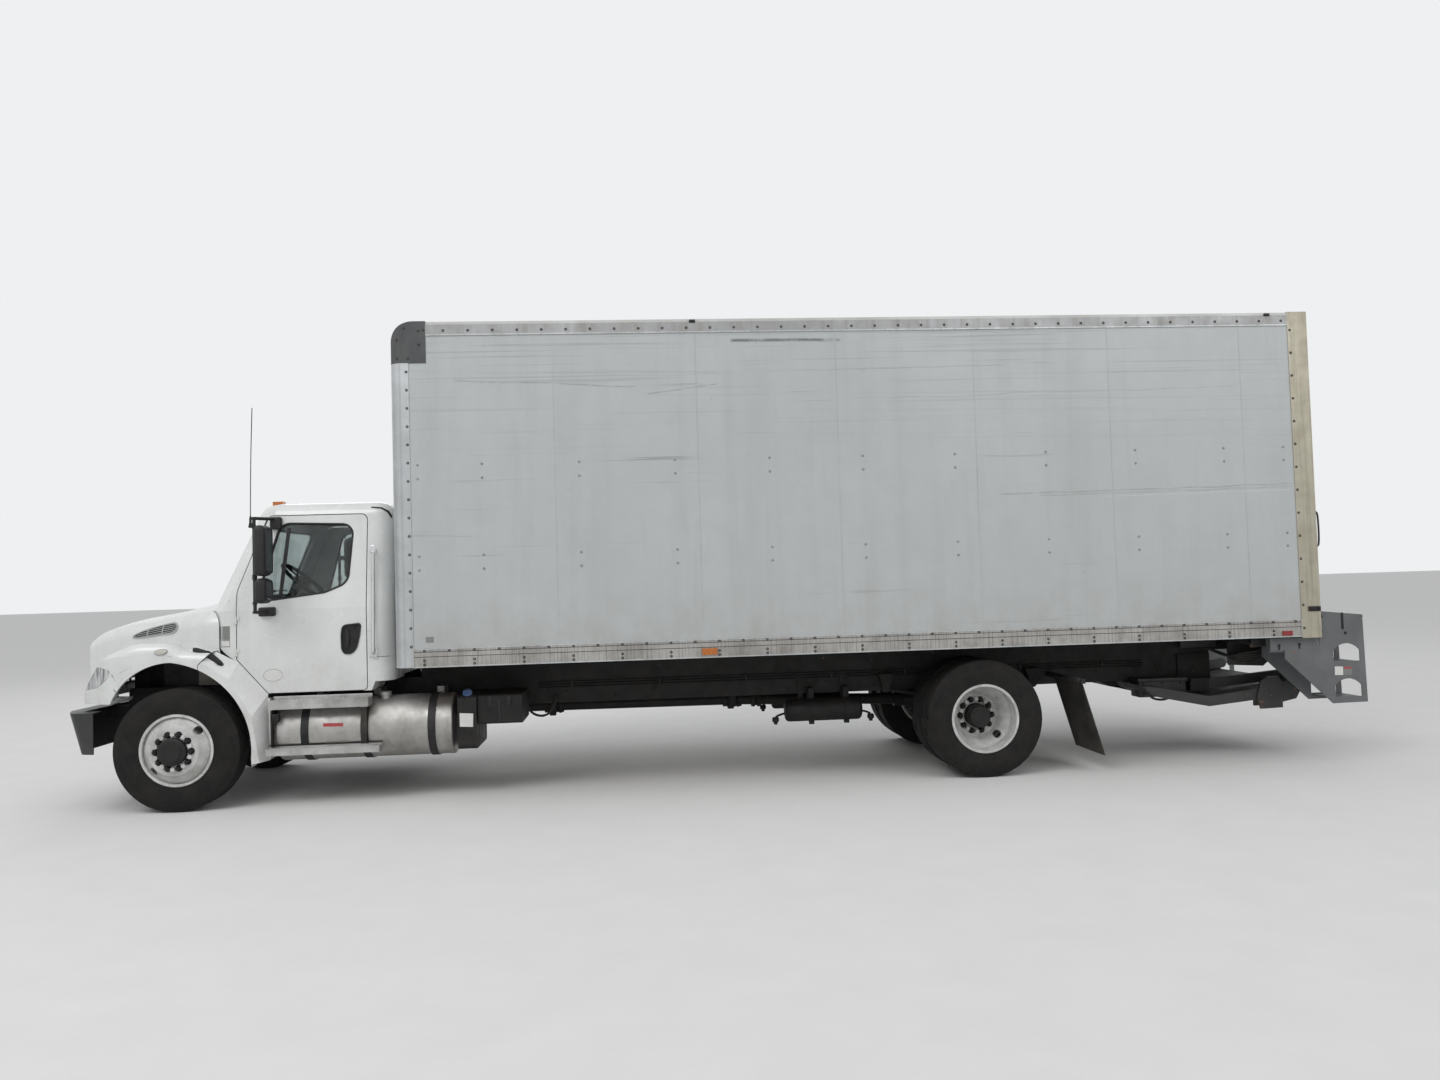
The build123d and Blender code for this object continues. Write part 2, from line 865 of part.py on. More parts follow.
# Door hinges: stacked knuckles on one axis outside the skin
hinge_x = station(-455) - panel_gap / 2
hinge_y = cab_half + 8
hinge_radius = 7.5
hinge_half = 30
hinge_heights = (1290, 1560)
door_skin_gap = 5


def hinge_leaf(z, direction, z_low, z_high):
    """Half a hinge: its share of the knuckle and a strap towards the door or the pillar."""
    with BuildPart() as leaf:
        with Locations((hinge_x, hinge_y, (z_low + z_high) / 2)):
            Cylinder(hinge_radius, z_high - z_low)
        brick(
            (hinge_x, hinge_x + direction * 26),
            (cab_half, hinge_y),
            (z_low, z_high),
        )
    return leaf.part


with BuildPart() as cab_shell:
    add(cab_outer)
    add(cab_inner, mode=Mode.SUBTRACT)
    with BuildPart(mode=Mode.PRIVATE) as opening:
        add(opening_zone)
        add(cab_inner_open, mode=Mode.SUBTRACT)
    for hole in (opening.part, mirror(opening.part, about=Plane.XZ)):
        add(hole, mode=Mode.SUBTRACT)
    add(windscreen_zone, mode=Mode.SUBTRACT)
    add(rear_glass_zone, mode=Mode.SUBTRACT)
    for z in hinge_heights:
        leaf = hinge_leaf(z, 1, z - hinge_half, z - seat_gap / 2)
        add(leaf)
        add(mirror(leaf, about=Plane.XZ))
write(cab_shell.part, "cab_shell")

with BuildPart() as door:
    add(cab_outer)
    add(door_zone, mode=Mode.INTERSECT)
    add(cab_mass(wall - door_skin_gap, open_floor=True), mode=Mode.SUBTRACT)
    add(window_zone, mode=Mode.SUBTRACT)
    for z in hinge_heights:
        add(hinge_leaf(z, -1, z + seat_gap / 2, z + hinge_half))
write_pair(door.part, "door")

# Glass: a thin layer of the cab's own wall, cut by the same outlines as the openings
glass_inset = 16
glass_thickness = 6
glass_outer = cab_mass(glass_inset)
glass_inner = cab_mass(glass_inset + glass_thickness)

with BuildPart() as glass_layer:
    add(glass_outer)
    add(glass_inner, mode=Mode.SUBTRACT)

with BuildPart() as cab_glass:
    with BuildPart(mode=Mode.PRIVATE) as front_pane:
        add(glass_layer.part)
        add(windscreen_zone, mode=Mode.INTERSECT)
    with BuildPart(mode=Mode.PRIVATE) as rear_pane:
        add(glass_layer.part)
        add(rear_glass_zone, mode=Mode.INTERSECT)
    add(front_pane.part)
    add(rear_pane.part)
write(cab_glass.part, "cab_glass")

with BuildPart() as door_glass:
    add(glass_layer.part)
    add(window_zone, mode=Mode.INTERSECT)
write_pair(door_glass.part, "door_glass")

# Inside the cab: instrument panel, steering wheel, seats
dash_outline = [
    (station(-190), 1420),
    (station(-560), 1420),
    (station(-690), 1560),
    (station(-660), 1735),
    (station(-560), 1770),
    (station(-190), 1720),
]
with BuildPart() as dashboard:
    add(side_prism(outline(dash_outline, [0, 30, 40, 30, 60, 0]), -930, 930))
    add(cab_mass(wall + seat_gap), mode=Mode.INTERSECT)
write(dashboard.part, "dashboard")

driver_y = 520
wheel_centre = Vector(station(-850), driver_y, 1880)
wheel_tilt = 42
grip_radius = 16
steering_radius = 222
steering_axis = Vector(-sin(radians(wheel_tilt)), 0, cos(radians(wheel_tilt)))
column_length = 245

with BuildPart() as steering_wheel:
    wheel_face = Plane(origin=wheel_centre, x_dir=(0, 1, 0), z_dir=steering_axis)
    with Locations(wheel_face):
        Torus(steering_radius, grip_radius)
        Cylinder(52, 40)
        for angle in (-12, 192, 270):
            with Locations(Rotation(0, 0, angle)):
                with Locations((steering_radius / 2, 0, 0)):
                    Box(steering_radius, 30, 12)
        with Locations((0, 0, -column_length / 2)):
            Cylinder(30, column_length)
    add(dashboard.part, mode=Mode.SUBTRACT)
write(steering_wheel.part, "steering_wheel")

seat_width = 500
seat_profile = [
    (station(-1010), 1500),
    (station(-1010), 1600),
    (station(-1400), 1590),
    (station(-1520), 2080),
    (station(-1535), 2330),
    (station(-1640), 2330),
    (station(-1640), 2100),
    (station(-1560), 1480),
]
seat_radii = [30, 50, 50, 60, 45, 45, 60, 60]
pedestal_half = 170

with BuildPart() as seats:
    for y in (-driver_y, driver_y):
        add(side_prism(outline(seat_profile, seat_radii), y - seat_width / 2, y + seat_width / 2))
        brick(
            (station(-1430), station(-1090)),
            (y - pedestal_half, y + pedestal_half),
            (cab_floor_z + wall, 1510),
        )
write(seats.part, "seats")

# Hood: a crowned centre and two fenders, hollow, tilting forward with grille and lamps
hood_wall = 28
nose_x = station(905)
hood_bottom_z = 905
# Columns: station ahead of the front axle, half width, height at the middle, crown, corner radius
hood_sections = [
    (905, 680, 1448, 42, 75),
    (860, 704, 1488, 45, 90),
    (560, 790, 1596, 54, 110),
    (160, 890, 1668, 70, 120),
    (-300, 1000, 1712, 84, 120),
]
hood_nose_from = 860
fender_y = 1170
fender_outline = [
    (station(800), hood_bottom_z),
    (station(789), 1012),
    (station(590), 1290),
    (station(340), 1397),
    (station(60), 1390),
    (station(-50), 1322),
    (station(-284), 1310),
    (station(-182), 1204),
    (station(-182), hood_bottom_z),
]
fender_radii = [0, 120, 240, 400, 160, 100, 0, 0, 0]
fender_plan = [
    (station(905), 0),
    (station(905), 690),
    (station(868), 850),
    (station(785), 1030),
    (station(545), 1152),
    (station(400), fender_y),
    (station(-300), fender_y),
    (station(-300), 0),
]
fender_plan_radii = [0, 120, 150, 260, 300, 0, 0, 0]
fender_root_y = 500
valance_top_z = 1004
fender_shoulder = 85
arch_front = (521, hood_bottom_z)
arch_front_mid = (362, 1117)
arch_top = (34, 1231)
arch_rear_mid = (-379, 1027)
arch_rear = (-603, 420)


def hood_core(inset):
    """The hood's middle, lofted through the section table."""
    with BuildPart() as core:
        for ahead, half, top, crown, corner in hood_sections:
            x = station(ahead) - (inset if ahead >= hood_nose_from else 0)
            side = half - inset
            peak = top - inset
            low = hood_bottom_z - inset
            with BuildSketch(cross_plane(x)):
                with BuildLine():
                    Polyline(
                        (side, peak - crown - corner),
                        (side, low),
                        (-side, low),
                        (-side, peak - crown - corner),
                    )
                    ThreePointArc(
                        (-side, peak - crown - corner),
                        (-side + 0.29 * corner, peak - crown - 0.29 * corner),
                        (-side + corner, peak - crown),
                    )
                    ThreePointArc(
                        (-side + corner, peak - crown),
                        (0, peak),
                        (side - corner, peak - crown),
                    )
                    ThreePointArc(
                        (side - corner, peak - crown),
                        (side - 0.29 * corner, peak - crown - 0.29 * corner),
                        (side, peak - crown - corner),
                    )
                make_face()
        loft()
    return core.part


def fender_mass(inset):
    """The left fender as a solid bulge, its outer shoulder rounded."""
    with BuildPart() as mass:
        add(
            side_prism(
                outline(fender_outline, fender_radii, inset), fender_root_y, fender_y - inset
            )
        )
        skin = mass.faces().sort_by(Axis.Y)[-1]
        crest = [e for e in skin.edges() if e.center().Z > 1000 and e.center().X > station(-170)]
        fillet(crest, fender_shoulder - inset)
        plan = plan_prism(outline(fender_plan, fender_plan_radii, inset), 0, 2000)
        add(plan, mode=Mode.INTERSECT)
        with BuildPart(mode=Mode.PRIVATE) as valance:
            add(plan)
            brick(
                (station(600), station(1000)),
                (fender_root_y, fender_y),
                (hood_bottom_z + inset, valance_top_z - inset),
                mode=Mode.INTERSECT,
            )
        add(valance.part)
    return mass.part


def arch_face():
    """The wheel opening in side view, down to the ground."""
    with BuildSketch() as face:
        with BuildLine():
            ThreePointArc(
                (station(arch_front[0]), arch_front[1]),
                (station(arch_front_mid[0]), arch_front_mid[1]),
                (station(arch_top[0]), arch_top[1]),
            )
            ThreePointArc(
                (station(arch_top[0]), arch_top[1]),
                (station(arch_rear_mid[0]), arch_rear_mid[1]),
                (station(arch_rear[0]), arch_rear[1]),
            )
            Polyline(
                (station(arch_rear[0]), arch_rear[1]),
                (station(arch_rear[0] - 8), 300),
                (station(arch_rear[0] - 8), 0),
                (station(arch_front[0]), 0),
                (station(arch_front[0]), arch_front[1]),
            )
        make_face()
    return face.sketch


arch_zone = side_prism(arch_face(), 560, fender_y + 20)
grille_outline = [(-330, 985), (330, 985), (390, 1300), (-390, 1300)]
grille_zone = cross_prism(outline(grille_outline, 45), station(860), nose_x + 60)
lamp_outline = [
    (730, 1010),
    (1010, 1010),
    (1108, 1040),
    (1150, 1110),
    (1156, 1185),
    (1115, 1212),
    (880, 1165),
    (760, 1100),
]
lamp_zone = cross_prism(
    outline(lamp_outline, [25, 40, 50, 40, 25, 25, 60, 30]), station(520), nose_x + 60
)
hood_core_outer = hood_core(0)
hood_core_inner = hood_core(hood_wall)
fender_outer = fender_mass(0)
fender_inner = fender_mass(hood_wall)

hood_axis = Axis((hood_pivot[0], 0, hood_pivot[1]), (0, 1, 0))
hood_clear_tilts = (0, 1, 2, 2.5, 3, 4, 5.5)
hood_gap = 10
cab_clear = cab_mass(-hood_gap)

with BuildPart() as hood:
    add(hood_core_outer)
    for fender in (fender_outer, mirror(fender_outer, about=Plane.XZ)):
        add(fender)
    add(hood_core_inner, mode=Mode.SUBTRACT)
    for side_zone in (fender_inner, arch_zone, lamp_zone):
        add(side_zone, mode=Mode.SUBTRACT)
        add(mirror(side_zone, about=Plane.XZ), mode=Mode.SUBTRACT)
    add(grille_zone, mode=Mode.SUBTRACT)
    for tilt in hood_clear_tilts:
        add(cab_clear.rotate(hood_axis, -tilt), mode=Mode.SUBTRACT)
    brick((station(-400), station(1000)), (-1200, 1200), (0, hood_bottom_z), mode=Mode.SUBTRACT)
    for side in (-1, 1):
        ends = sorted((side * hood_lug_y[0], side * hood_lug_y[1]))
        side_disc(hood_pivot, hood_lug_radius, *ends)
        brick(
            (hood_pivot[0] - hood_lug_radius, nose_x - hood_wall + 3),
            ends,
            (hood_pivot[1], hood_bottom_z + 60),
        )
        side_disc(hood_pivot, hood_pin_radius + running_gap, *ends, mode=Mode.SUBTRACT)
write(hood.part, "hood")

bar_count = 6
bar_height = 24
with BuildPart() as grille:
    add(hood_core_outer)
    add(hood_core_inner, mode=Mode.SUBTRACT)
    add(grille_zone, mode=Mode.INTERSECT)
    pitch = (1300 - 985 - bar_height) / bar_count
    for row in range(bar_count):
        low = 985 + bar_height + row * pitch
        brick(
            (station(800), nose_x + 100),
            (-318 - 8 * row, 318 + 8 * row),
            (low, low + pitch - bar_height),
            mode=Mode.SUBTRACT,
        )
    for y in (-150, 0, 150):
        brick((nose_x - 26, nose_x - 8), (y - 7, y + 7), (990, 1295))
write(grille.part, "grille")

with BuildPart() as headlights:
    with BuildPart(mode=Mode.PRIVATE) as lamp:
        add(fender_outer)
        add(lamp_zone, mode=Mode.INTERSECT)
        add(fender_inner, mode=Mode.SUBTRACT)
        add(hood_core_outer, mode=Mode.SUBTRACT)
    add(lamp.part)
    add(mirror(lamp.part, about=Plane.XZ))
write(headlights.part, "headlights")

# Quarter fenders: the rear half of each wheel opening, fixed to the cab
quarter_outline = [
    (station(-292), 1304),
    (station(-188), 1199),
    (station(-188), 300),
    (station(-603), 300),
    (station(-610), 372),
    (station(-722), 386),
    (station(-710), 934),
    (station(-472), 1208),
]
quarter_crest = [
    (station(-212), 1225),
    (station(-188), 1199),
    (station(-188), 300),
    (station(-603), 300),
    (station(-610), 372),
    (station(-668), 380),
    (station(-612), 760),
    (station(-432), 1075),
]
quarter_inner_y = cab_half + seat_gap
quarter_heel = quarter_outline[4]

with BuildPart() as quarter_fender:
    for y, points in ((quarter_inner_y, quarter_outline), (fender_y, quarter_crest)):
        with BuildSketch(side_plane(y)):
            add(outline(points))
    loft(ruled=True)
    add(arch_zone, mode=Mode.SUBTRACT)
    brick(
        (quarter_heel[0] - 115, quarter_heel[0] - 30),
        (cab_half - 120, quarter_inner_y + 1),
        (quarter_heel[1] + 20, sill_z - 35),
    )
write_both(quarter_fender.part, "quarter_fenders")

# Fuel tank with its straps, hung from the left rail
tank_radius = 260
tank_y = 840
tank_z = 610
tank_front_x = station(-773)
tank_rear_x = station(-2227)
strap_stations = (station(-1014), station(-1504), station(-2057))
strap_width = 60
strap_thickness = 6
rail_face_y = rail_outer_y + seat_gap

with BuildPart() as fuel_tank:
    with BuildSketch(cross_plane(tank_rear_x)):
        with Locations((tank_y, tank_z)):
            Circle(tank_radius)
    extrude(amount=tank_front_x - tank_rear_x)
    fillet(fuel_tank.edges().filter_by(GeomType.CIRCLE), 18)
    with Locations((station(-1637), tank_y + 60, tank_z + tank_radius - 20)):
        Cylinder(48, 60)
    for x in strap_stations:
        with BuildSketch(cross_plane(x - strap_width / 2)):
            with Locations((tank_y, tank_z)):
                Circle(tank_radius + strap_thickness)
        extrude(amount=strap_width)
        brick(
            (x - strap_width / 2, x + strap_width / 2),
            (rail_face_y, tank_y - tank_radius + 60),
            (tank_z + 40, rail_top_z - 60),
        )
write(fuel_tank.part, "fuel_tank")

# Cab steps: two treads a side on a front hanger and an outer bracket
step_front_x = station(-747)
step_rear_x = station(-1557)
upper_step = (step_front_x, step_rear_x, 1032, 1172, 812, 884)
lower_step = (station(-722), station(-1645), 1086, 1186, 434, 487)
step_wall = 5
bracket_thickness = 10
outer_bracket_y = tank_y + tank_radius + strap_thickness + seat_gap


def step_tread(x_front, x_rear, y_inner, y_outer, z_low, z_high):
    """A folded tread: top face and down-turned edges."""
    with BuildPart() as tread:
        brick((x_rear, x_front), (y_inner, y_outer), (z_low, z_high))
        brick(
            (x_rear + step_wall, x_front - step_wall),
            (y_inner + step_wall, y_outer - step_wall),
            (z_low - 1, z_high - step_wall),
            mode=Mode.SUBTRACT,
        )
    return tread.part


with BuildPart() as steps:
    add(step_tread(*upper_step))
    add(step_tread(*lower_step))
    brick(
        (strap_stations[1] - 24, strap_stations[1] + 24),
        (outer_bracket_y, outer_bracket_y + bracket_thickness),
        (440, 880),
    )
    brick(
        (step_front_x - 2 * bracket_thickness, step_front_x - bracket_thickness),
        (rail_face_y, 1150),
        (rail_bottom_z + 20, 880),
    )
    brick(
        (step_front_x - 2 * bracket_thickness, step_front_x - bracket_thickness),
        (1090, 1150),
        (440, 880),
    )
write_both(steps.part, "cab_steps")

# Right side: exhaust treatment housing behind the steps, with its tail pipe
housing_outline = [
    (-rail_face_y - 90, 420),
    (-tank_y - tank_radius, 500),
    (-tank_y - tank_radius, 720),
    (-tank_y - tank_radius + 80, 800),
    (-rail_face_y - 90, 800),
]
pipe_radius = 58

with BuildPart() as exhaust:
    with BuildSketch(cross_plane(station(-1900))):
        with BuildLine():
            FilletPolyline(*housing_outline, radius=[40, 60, 60, 60, 40], close=True)
        make_face()
    extrude(amount=tank_front_x - station(-1900))
    for x in (station(-1000), station(-1700)):
        brick((x - 30, x + 30), (-rail_face_y - 120, -rail_face_y), (740, rail_top_z - 60))
    brick(
        (strap_stations[1] - 24, strap_stations[1] + 24),
        (-outer_bracket_y + seat_gap, -tank_y - tank_radius + 40),
        (560, 700),
    )
    with BuildLine() as pipe_path:
        FilletPolyline(
            (station(-1880), -700, 640),
            (station(-3300), -700, 640),
            (station(-3300), -1180, 600),
            radius=180,
        )
    with BuildSketch(Plane(origin=(station(-1880), -700, 640), z_dir=(-1, 0, 0))):
        Circle(pipe_radius)
    sweep(path=pipe_path.line)
    brick(
        (station(-2900), station(-2860)),
        (-720, -rail_face_y),
        (680, 820),
    )
write(exhaust.part, "exhaust")

# Additive tank and battery box on the left, air tanks under the load floor
def hung_box(x_rear, x_front, y_outer, z_low, z_high, corner):
    """A box with rounded lengthwise edges on two brackets from the left rail."""
    inner_y = rail_face_y + 60
    with BuildPart() as box:
        brick((x_rear, x_front), (inner_y, y_outer), (z_low, z_high))
        fillet(box.edges().filter_by(Axis.X), corner)
        for x in (x_rear + 40, x_front - 40):
            brick(
                (x - 20, x + 20),
                (rail_face_y, inner_y + 20),
                (max(z_low + corner, rail_bottom_z + 10), z_high - corner),
            )
    return box.part


with BuildPart() as frame_boxes:
    add(hung_box(station(-2811), station(-2437), 1050, 610, 856, 20))
    add(hung_box(station(-2431), station(-2274), 1090, 410, 861, 45))
    with BuildSketch(Plane(origin=(station(-2352), 1000, 830), z_dir=(0, 0.6, 0.8))):
        Circle(38)
    extrude(amount=60)
write(frame_boxes.part, "frame_boxes")

air_tank_radius = 104
air_tank_y = rail_outer_y + 70
air_tank_z = 558
with BuildPart() as air_tanks:
    for side in (-1, 1):
        with BuildSketch(cross_plane(station(-5855))):
            with Locations((side * air_tank_y, air_tank_z)):
                Circle(air_tank_radius)
        extrude(amount=712)
    fillet(air_tanks.edges().filter_by(GeomType.CIRCLE), 40)
    for side in (-1, 1):
        for x in (station(-5300), station(-5700)):
            brick(
                (x - 22, x + 22),
                (side * rail_face_y, side * (rail_face_y + 12)),
                (air_tank_z, rail_top_z - 80),
            )
write(air_tanks.part, "air_tanks")

# Van body: one rounded box, split into the pieces it is built from
body_half = 1298
panel_recess = 6
body_wall = 44
front_corner = 100
front_brow = 200
bottom_rail_top_z = 1281
top_rail_low_z = 3893
roof_low_z = 3985
front_post_depth = 160
rear_post_depth = 181
floor_top_z = 1300
floor_low_z = 1240
cap_depth = 304
cap_low_z = 3663
cap_width = 270
rear_post_x = body_rear_x + rear_post_depth
front_post_x = body_front_x - front_post_depth


def body_mass(inset):
    """The van body as a solid, its walls moved in by inset."""
    front = body_front_x - inset
    half = body_half - inset
    corner = front_corner - inset / 2
    brow = front_brow - inset
    top = body_top_z - inset
    with BuildPart() as mass:
        with BuildSketch(Plane.XY.offset(body_bottom_z)):
            with BuildLine():
                FilletPolyline(
                    (body_rear_x, -half),
                    (front, -half),
                    (front, half),
                    (body_rear_x, half),
                    radius=[0, corner, corner, 0],
                    close=True,
                )
            make_face()
        extrude(amount=top - body_bottom_z)
        with BuildSketch(side_plane(half), mode=Mode.PRIVATE) as side:
            with BuildLine():
                FilletPolyline(
                    (body_rear_x, body_bottom_z),
                    (front, body_bottom_z),
                    (front, top),
                    (body_rear_x, top),
                    radius=[0, 0, brow, 0],
                    close=True,
                )
            make_face()
        extrude(side.sketch, amount=2 * half, mode=Mode.INTERSECT)
    return mass.part


body_outer = body_mass(0)
body_inner = body_mass(body_wall)
with BuildPart() as body_skin:
    add(body_outer)
    add(body_inner, mode=Mode.SUBTRACT)
with BuildPart() as panel_skin:
    add(body_mass(panel_recess))
    add(body_inner, mode=Mode.SUBTRACT)
with BuildPart() as cap_zone:
    for side in (-1, 1):
        brick(
            (body_front_x - cap_depth, body_front_x + 10),
            (side * (body_half - cap_width), side * (body_half + 10)),
            (cap_low_z, body_top_z + 10),
        )


def body_piece(skin, x_range, y_range, z_range):
    """The share of a skin that lies in a block, without the front corner caps."""
    with BuildPart() as piece:
        add(skin.part)
        brick(x_range, y_range, z_range, mode=Mode.INTERSECT)
        add(cap_zone.part, mode=Mode.SUBTRACT)
    return piece.part


full_y = (-body_half - 10, body_half + 10)
left_y = (body_half - 300, body_half + 10)
front_reach = body_front_x + 10

post_inner_y = body_half - front_corner
body_front = body_piece(
    panel_skin,
    (front_post_x, front_reach),
    (-post_inner_y, post_inner_y),
    (body_bottom_z, top_rail_low_z),
)
write(body_front, "body_front")
front_post = body_piece(
    body_skin,
    (front_post_x, front_reach),
    (post_inner_y, body_half + 10),
    (body_bottom_z, top_rail_low_z),
)
write_both(front_post, "front_posts")
body_side = body_piece(
    panel_skin, (rear_post_x, front_post_x), left_y, (bottom_rail_top_z, top_rail_low_z)
)
write_both(body_side, "body_sides")
bottom_rail = body_piece(
    body_skin, (rear_post_x, front_post_x), left_y, (body_bottom_z, bottom_rail_top_z)
)
write_both(bottom_rail, "bottom_rails")
top_rails = body_piece(
    body_skin, (rear_post_x, front_reach), full_y, (top_rail_low_z, roof_low_z)
)
write(top_rails, "top_rails")
body_roof = body_piece(
    panel_skin, (rear_post_x, front_reach), full_y, (roof_low_z, body_top_z + 10)
)
write(body_roof, "body_roof")
with BuildPart() as corner_caps:
    add(body_skin.part)
    add(cap_zone.part, mode=Mode.INTERSECT)
write(corner_caps.part, "corner_caps")

# Floor on its crossmembers and the two long sills that rest on the chassis rails
floor_half = body_half - body_wall - seat_gap
floor_front_x = body_front_x - body_wall - seat_gap
cross_count = 19
cross_width = 44
sill_width = 70

with BuildPart() as body_floor:
    brick((rear_post_x, floor_front_x), (-floor_half, floor_half), (floor_low_z, floor_top_z))
    add(body_mass(body_wall + seat_gap), mode=Mode.INTERSECT)
write(body_floor.part, "body_floor")

with BuildPart() as floor_beams:
    cross_pitch = (floor_front_x - rear_post_x - cross_width) / (cross_count - 1)
    for row in range(cross_count):
        x = rear_post_x + row * cross_pitch
        brick((x, x + cross_width), (-floor_half, floor_half), (body_bottom_z, floor_low_z))
    add(body_mass(body_wall + seat_gap), mode=Mode.INTERSECT)
    for side in (-1, 1):
        brick(
            (rear_post_x, floor_front_x),
            (side * (rail_outer_y - sill_width), side * rail_outer_y),
            (rail_top_z, body_bottom_z + 1),
        )
write(floor_beams.part, "floor_beams")

# Rear frame and the sectional door behind it
rear_post_width = 118
header_low_z = 3800
door_recess = 60
door_thickness = 26
door_slot = 20
section_count = 7

with BuildPart() as rear_frame:
    brick(
        (body_rear_x, rear_post_x),
        (-body_half, body_half),
        (body_bottom_z - 14, body_top_z),
    )
    brick(
        (body_rear_x - 10, rear_post_x + 10),
        (-body_half + rear_post_width, body_half - rear_post_width),
        (floor_top_z, header_low_z),
        mode=Mode.SUBTRACT,
    )
    slot_x = body_rear_x + door_recess
    brick(
        (slot_x - seat_gap, slot_x + door_thickness + seat_gap),
        (-body_half + rear_post_width - door_slot, body_half - rear_post_width + door_slot),
        (floor_top_z, header_low_z + door_slot),
        mode=Mode.SUBTRACT,
    )
write(rear_frame.part, "rear_frame")

section_groove = 6
door_half = body_half - rear_post_width + door_slot - seat_gap
door_top_z = header_low_z + door_slot - seat_gap
with BuildPart() as rear_door:
    brick((slot_x, slot_x + door_thickness), (-door_half, door_half), (floor_top_z, door_top_z))
    section = (door_top_z - floor_top_z) / section_count
    for row in range(1, section_count):
        z = floor_top_z + row * section
        brick(
            (slot_x - 1, slot_x + section_groove),
            (-door_half, door_half),
            (z - 5, z + 5),
            mode=Mode.SUBTRACT,
        )
    with Locations((slot_x - 15, 0, floor_top_z + 160)):
        Box(30, 220, 60)
write(rear_door.part, "rear_door")

# Dock steps: a holed side plate and treads at each rear corner
dock_plate_y = 1238
dock_wall = 10
dock_inner_y = 880
dock_outline = [
    (station(-9848), 1343),
    (tail_x + 14, 1300),
    (tail_x, 525),
    (station(-9951), 521),
    (station(-9521), 930),
    (station(-9526), 1035),
    (station(-9848), 1036),
]
dock_holes = [(station(-10097), 891, 1048), (station(-10100), 577, 736)]
hole_half = 123
lamp_depth = 28
dock_arm_top = body_bottom_z - 14 - seat_gap

with BuildPart() as dock_plate:
    with BuildSketch(side_plane(dock_plate_y)):
        with BuildLine():
            Polyline(*dock_outline, close=True)
        make_face()
        for x, low, high in dock_holes:
            with BuildLine():
                Line((x + hole_half, low), (x + hole_half, high - 60))
                ThreePointArc(
                    (x + hole_half, high - 60), (x, high), (x - hole_half, high - 60)
                )
                Line((x - hole_half, high - 60), (x - hole_half, low))
                Line((x - hole_half, low), (x + hole_half, low))
            make_face(mode=Mode.SUBTRACT)
    extrude(amount=dock_wall)

with BuildPart() as dock_step:
    add(dock_plate.part)
    add(dock_plate.part.moved(Location((0, dock_inner_y - dock_plate_y + dock_wall, 0))))
    for z, x_front in ((1290, station(-9848)), (880, station(-9900)), (566, station(-9990))):
        brick((tail_x + 8, x_front), (dock_inner_y, dock_plate_y), (z - 12, z))
    brick(
        (station(-9530), station(-9391)),
        (dock_plate_y - dock_wall - 60, dock_plate_y - dock_wall),
        (990, dock_arm_top),
    )
    brick(
        (station(-9840), station(-9391)),
        (dock_plate_y - dock_wall - 60, dock_plate_y),
        (1036 - 30, dock_arm_top),
    )
    brick(
        (station(-9840), station(-9700)),
        (dock_inner_y, dock_plate_y),
        (1036 - 30, dock_arm_top),
    )
    brick(
        (tail_x + lamp_depth, tail_x + lamp_depth + dock_wall),
        (dock_inner_y, dock_plate_y),
        (1060, 1200),
    )
write_both(dock_step.part, "dock_steps")

# Lift gate, stowed under the tail: fixed frame, lift arms and the folded platform
gate_pivot = (station(-9100), 660)
gate_hinge = (station(-9966), 737)
arm_y = (580, 616)
arm_radius = 45
pin_radius = 22
gate_gap = 6
pack_half = 850

with BuildPart() as liftgate_frame:
    brick((station(-9050), station(-8960)), (-640, 640), (606, rail_bottom_z - gate_gap))
    for side in (-1, 1):
        brick(
            (station(-9262), station(-8940)),
            (side * rail_face_y, side * (rail_face_y + 14)),
            (606, rail_top_z - 30),
        )
        for y in (arm_y[0] - gate_gap - 12, arm_y[1] + gate_gap):
            brick(
                (gate_pivot[0] - 45, station(-8970)),
                (side * y, side * (y + 12)),
                (606, rail_bottom_z + 20),
            )
        pin_outer = arm_y[1] + gate_gap + 12
        with BuildSketch(side_plane(pin_outer if side > 0 else -arm_y[0] + gate_gap + 12)):
            with Locations(gate_pivot):
                Circle(pin_radius)
        extrude(amount=pin_outer - arm_y[0] + gate_gap + 12)
write(liftgate_frame.part, "liftgate_frame")


arm_run = Vector(gate_hinge[0] - gate_pivot[0], gate_hinge[1] - gate_pivot[1])
arm_angle = degrees(atan2(arm_run.Y, arm_run.X))
with BuildPart() as lift_arms:
    for side in (-1, 1):
        low, high = sorted((side * arm_y[0], side * arm_y[1]))
        with BuildSketch(side_plane(high)):
            with Locations(Location(gate_pivot, arm_angle)):
                with Locations((arm_run.length / 2, 0)):
                    SlotCenterToCenter(arm_run.length, 2 * arm_radius)
        extrude(amount=high - low)
        for centre in (gate_pivot, gate_hinge):
            side_disc(centre, pin_radius + running_gap, low - 1, high + 1, mode=Mode.SUBTRACT)
write(lift_arms.part, "lift_arms")

pack_outline = [
    (station(-8410), 690),
    (station(-8440), 640),
    (station(-8587), 575),
    (station(-9019), 486),
    (station(-9800), 560),
    (station(-9950), 610),
    (station(-9950), 680),
    (station(-9860), 668),
    (station(-9019), 578),
    (station(-8560), 670),
]
side_plate = 20
hook_outline = [
    (station(-9470), 560),
    (station(-9510), 700),
    (station(-9570), 739),
    (station(-9680), 739),
    (station(-9712), 690),
    (station(-9712), 452),
    (station(-9500), 446),
]
swing_outline = [
    (station(-9700), 500),
    (station(-9844), 530),
    (station(-9885), 600),
    (station(-9985), 640),
    (station(-9990), 740),
    (station(-9955), 792),
    (station(-9900), 800),
    (station(-9840), 770),
    (station(-9700), 640),
]

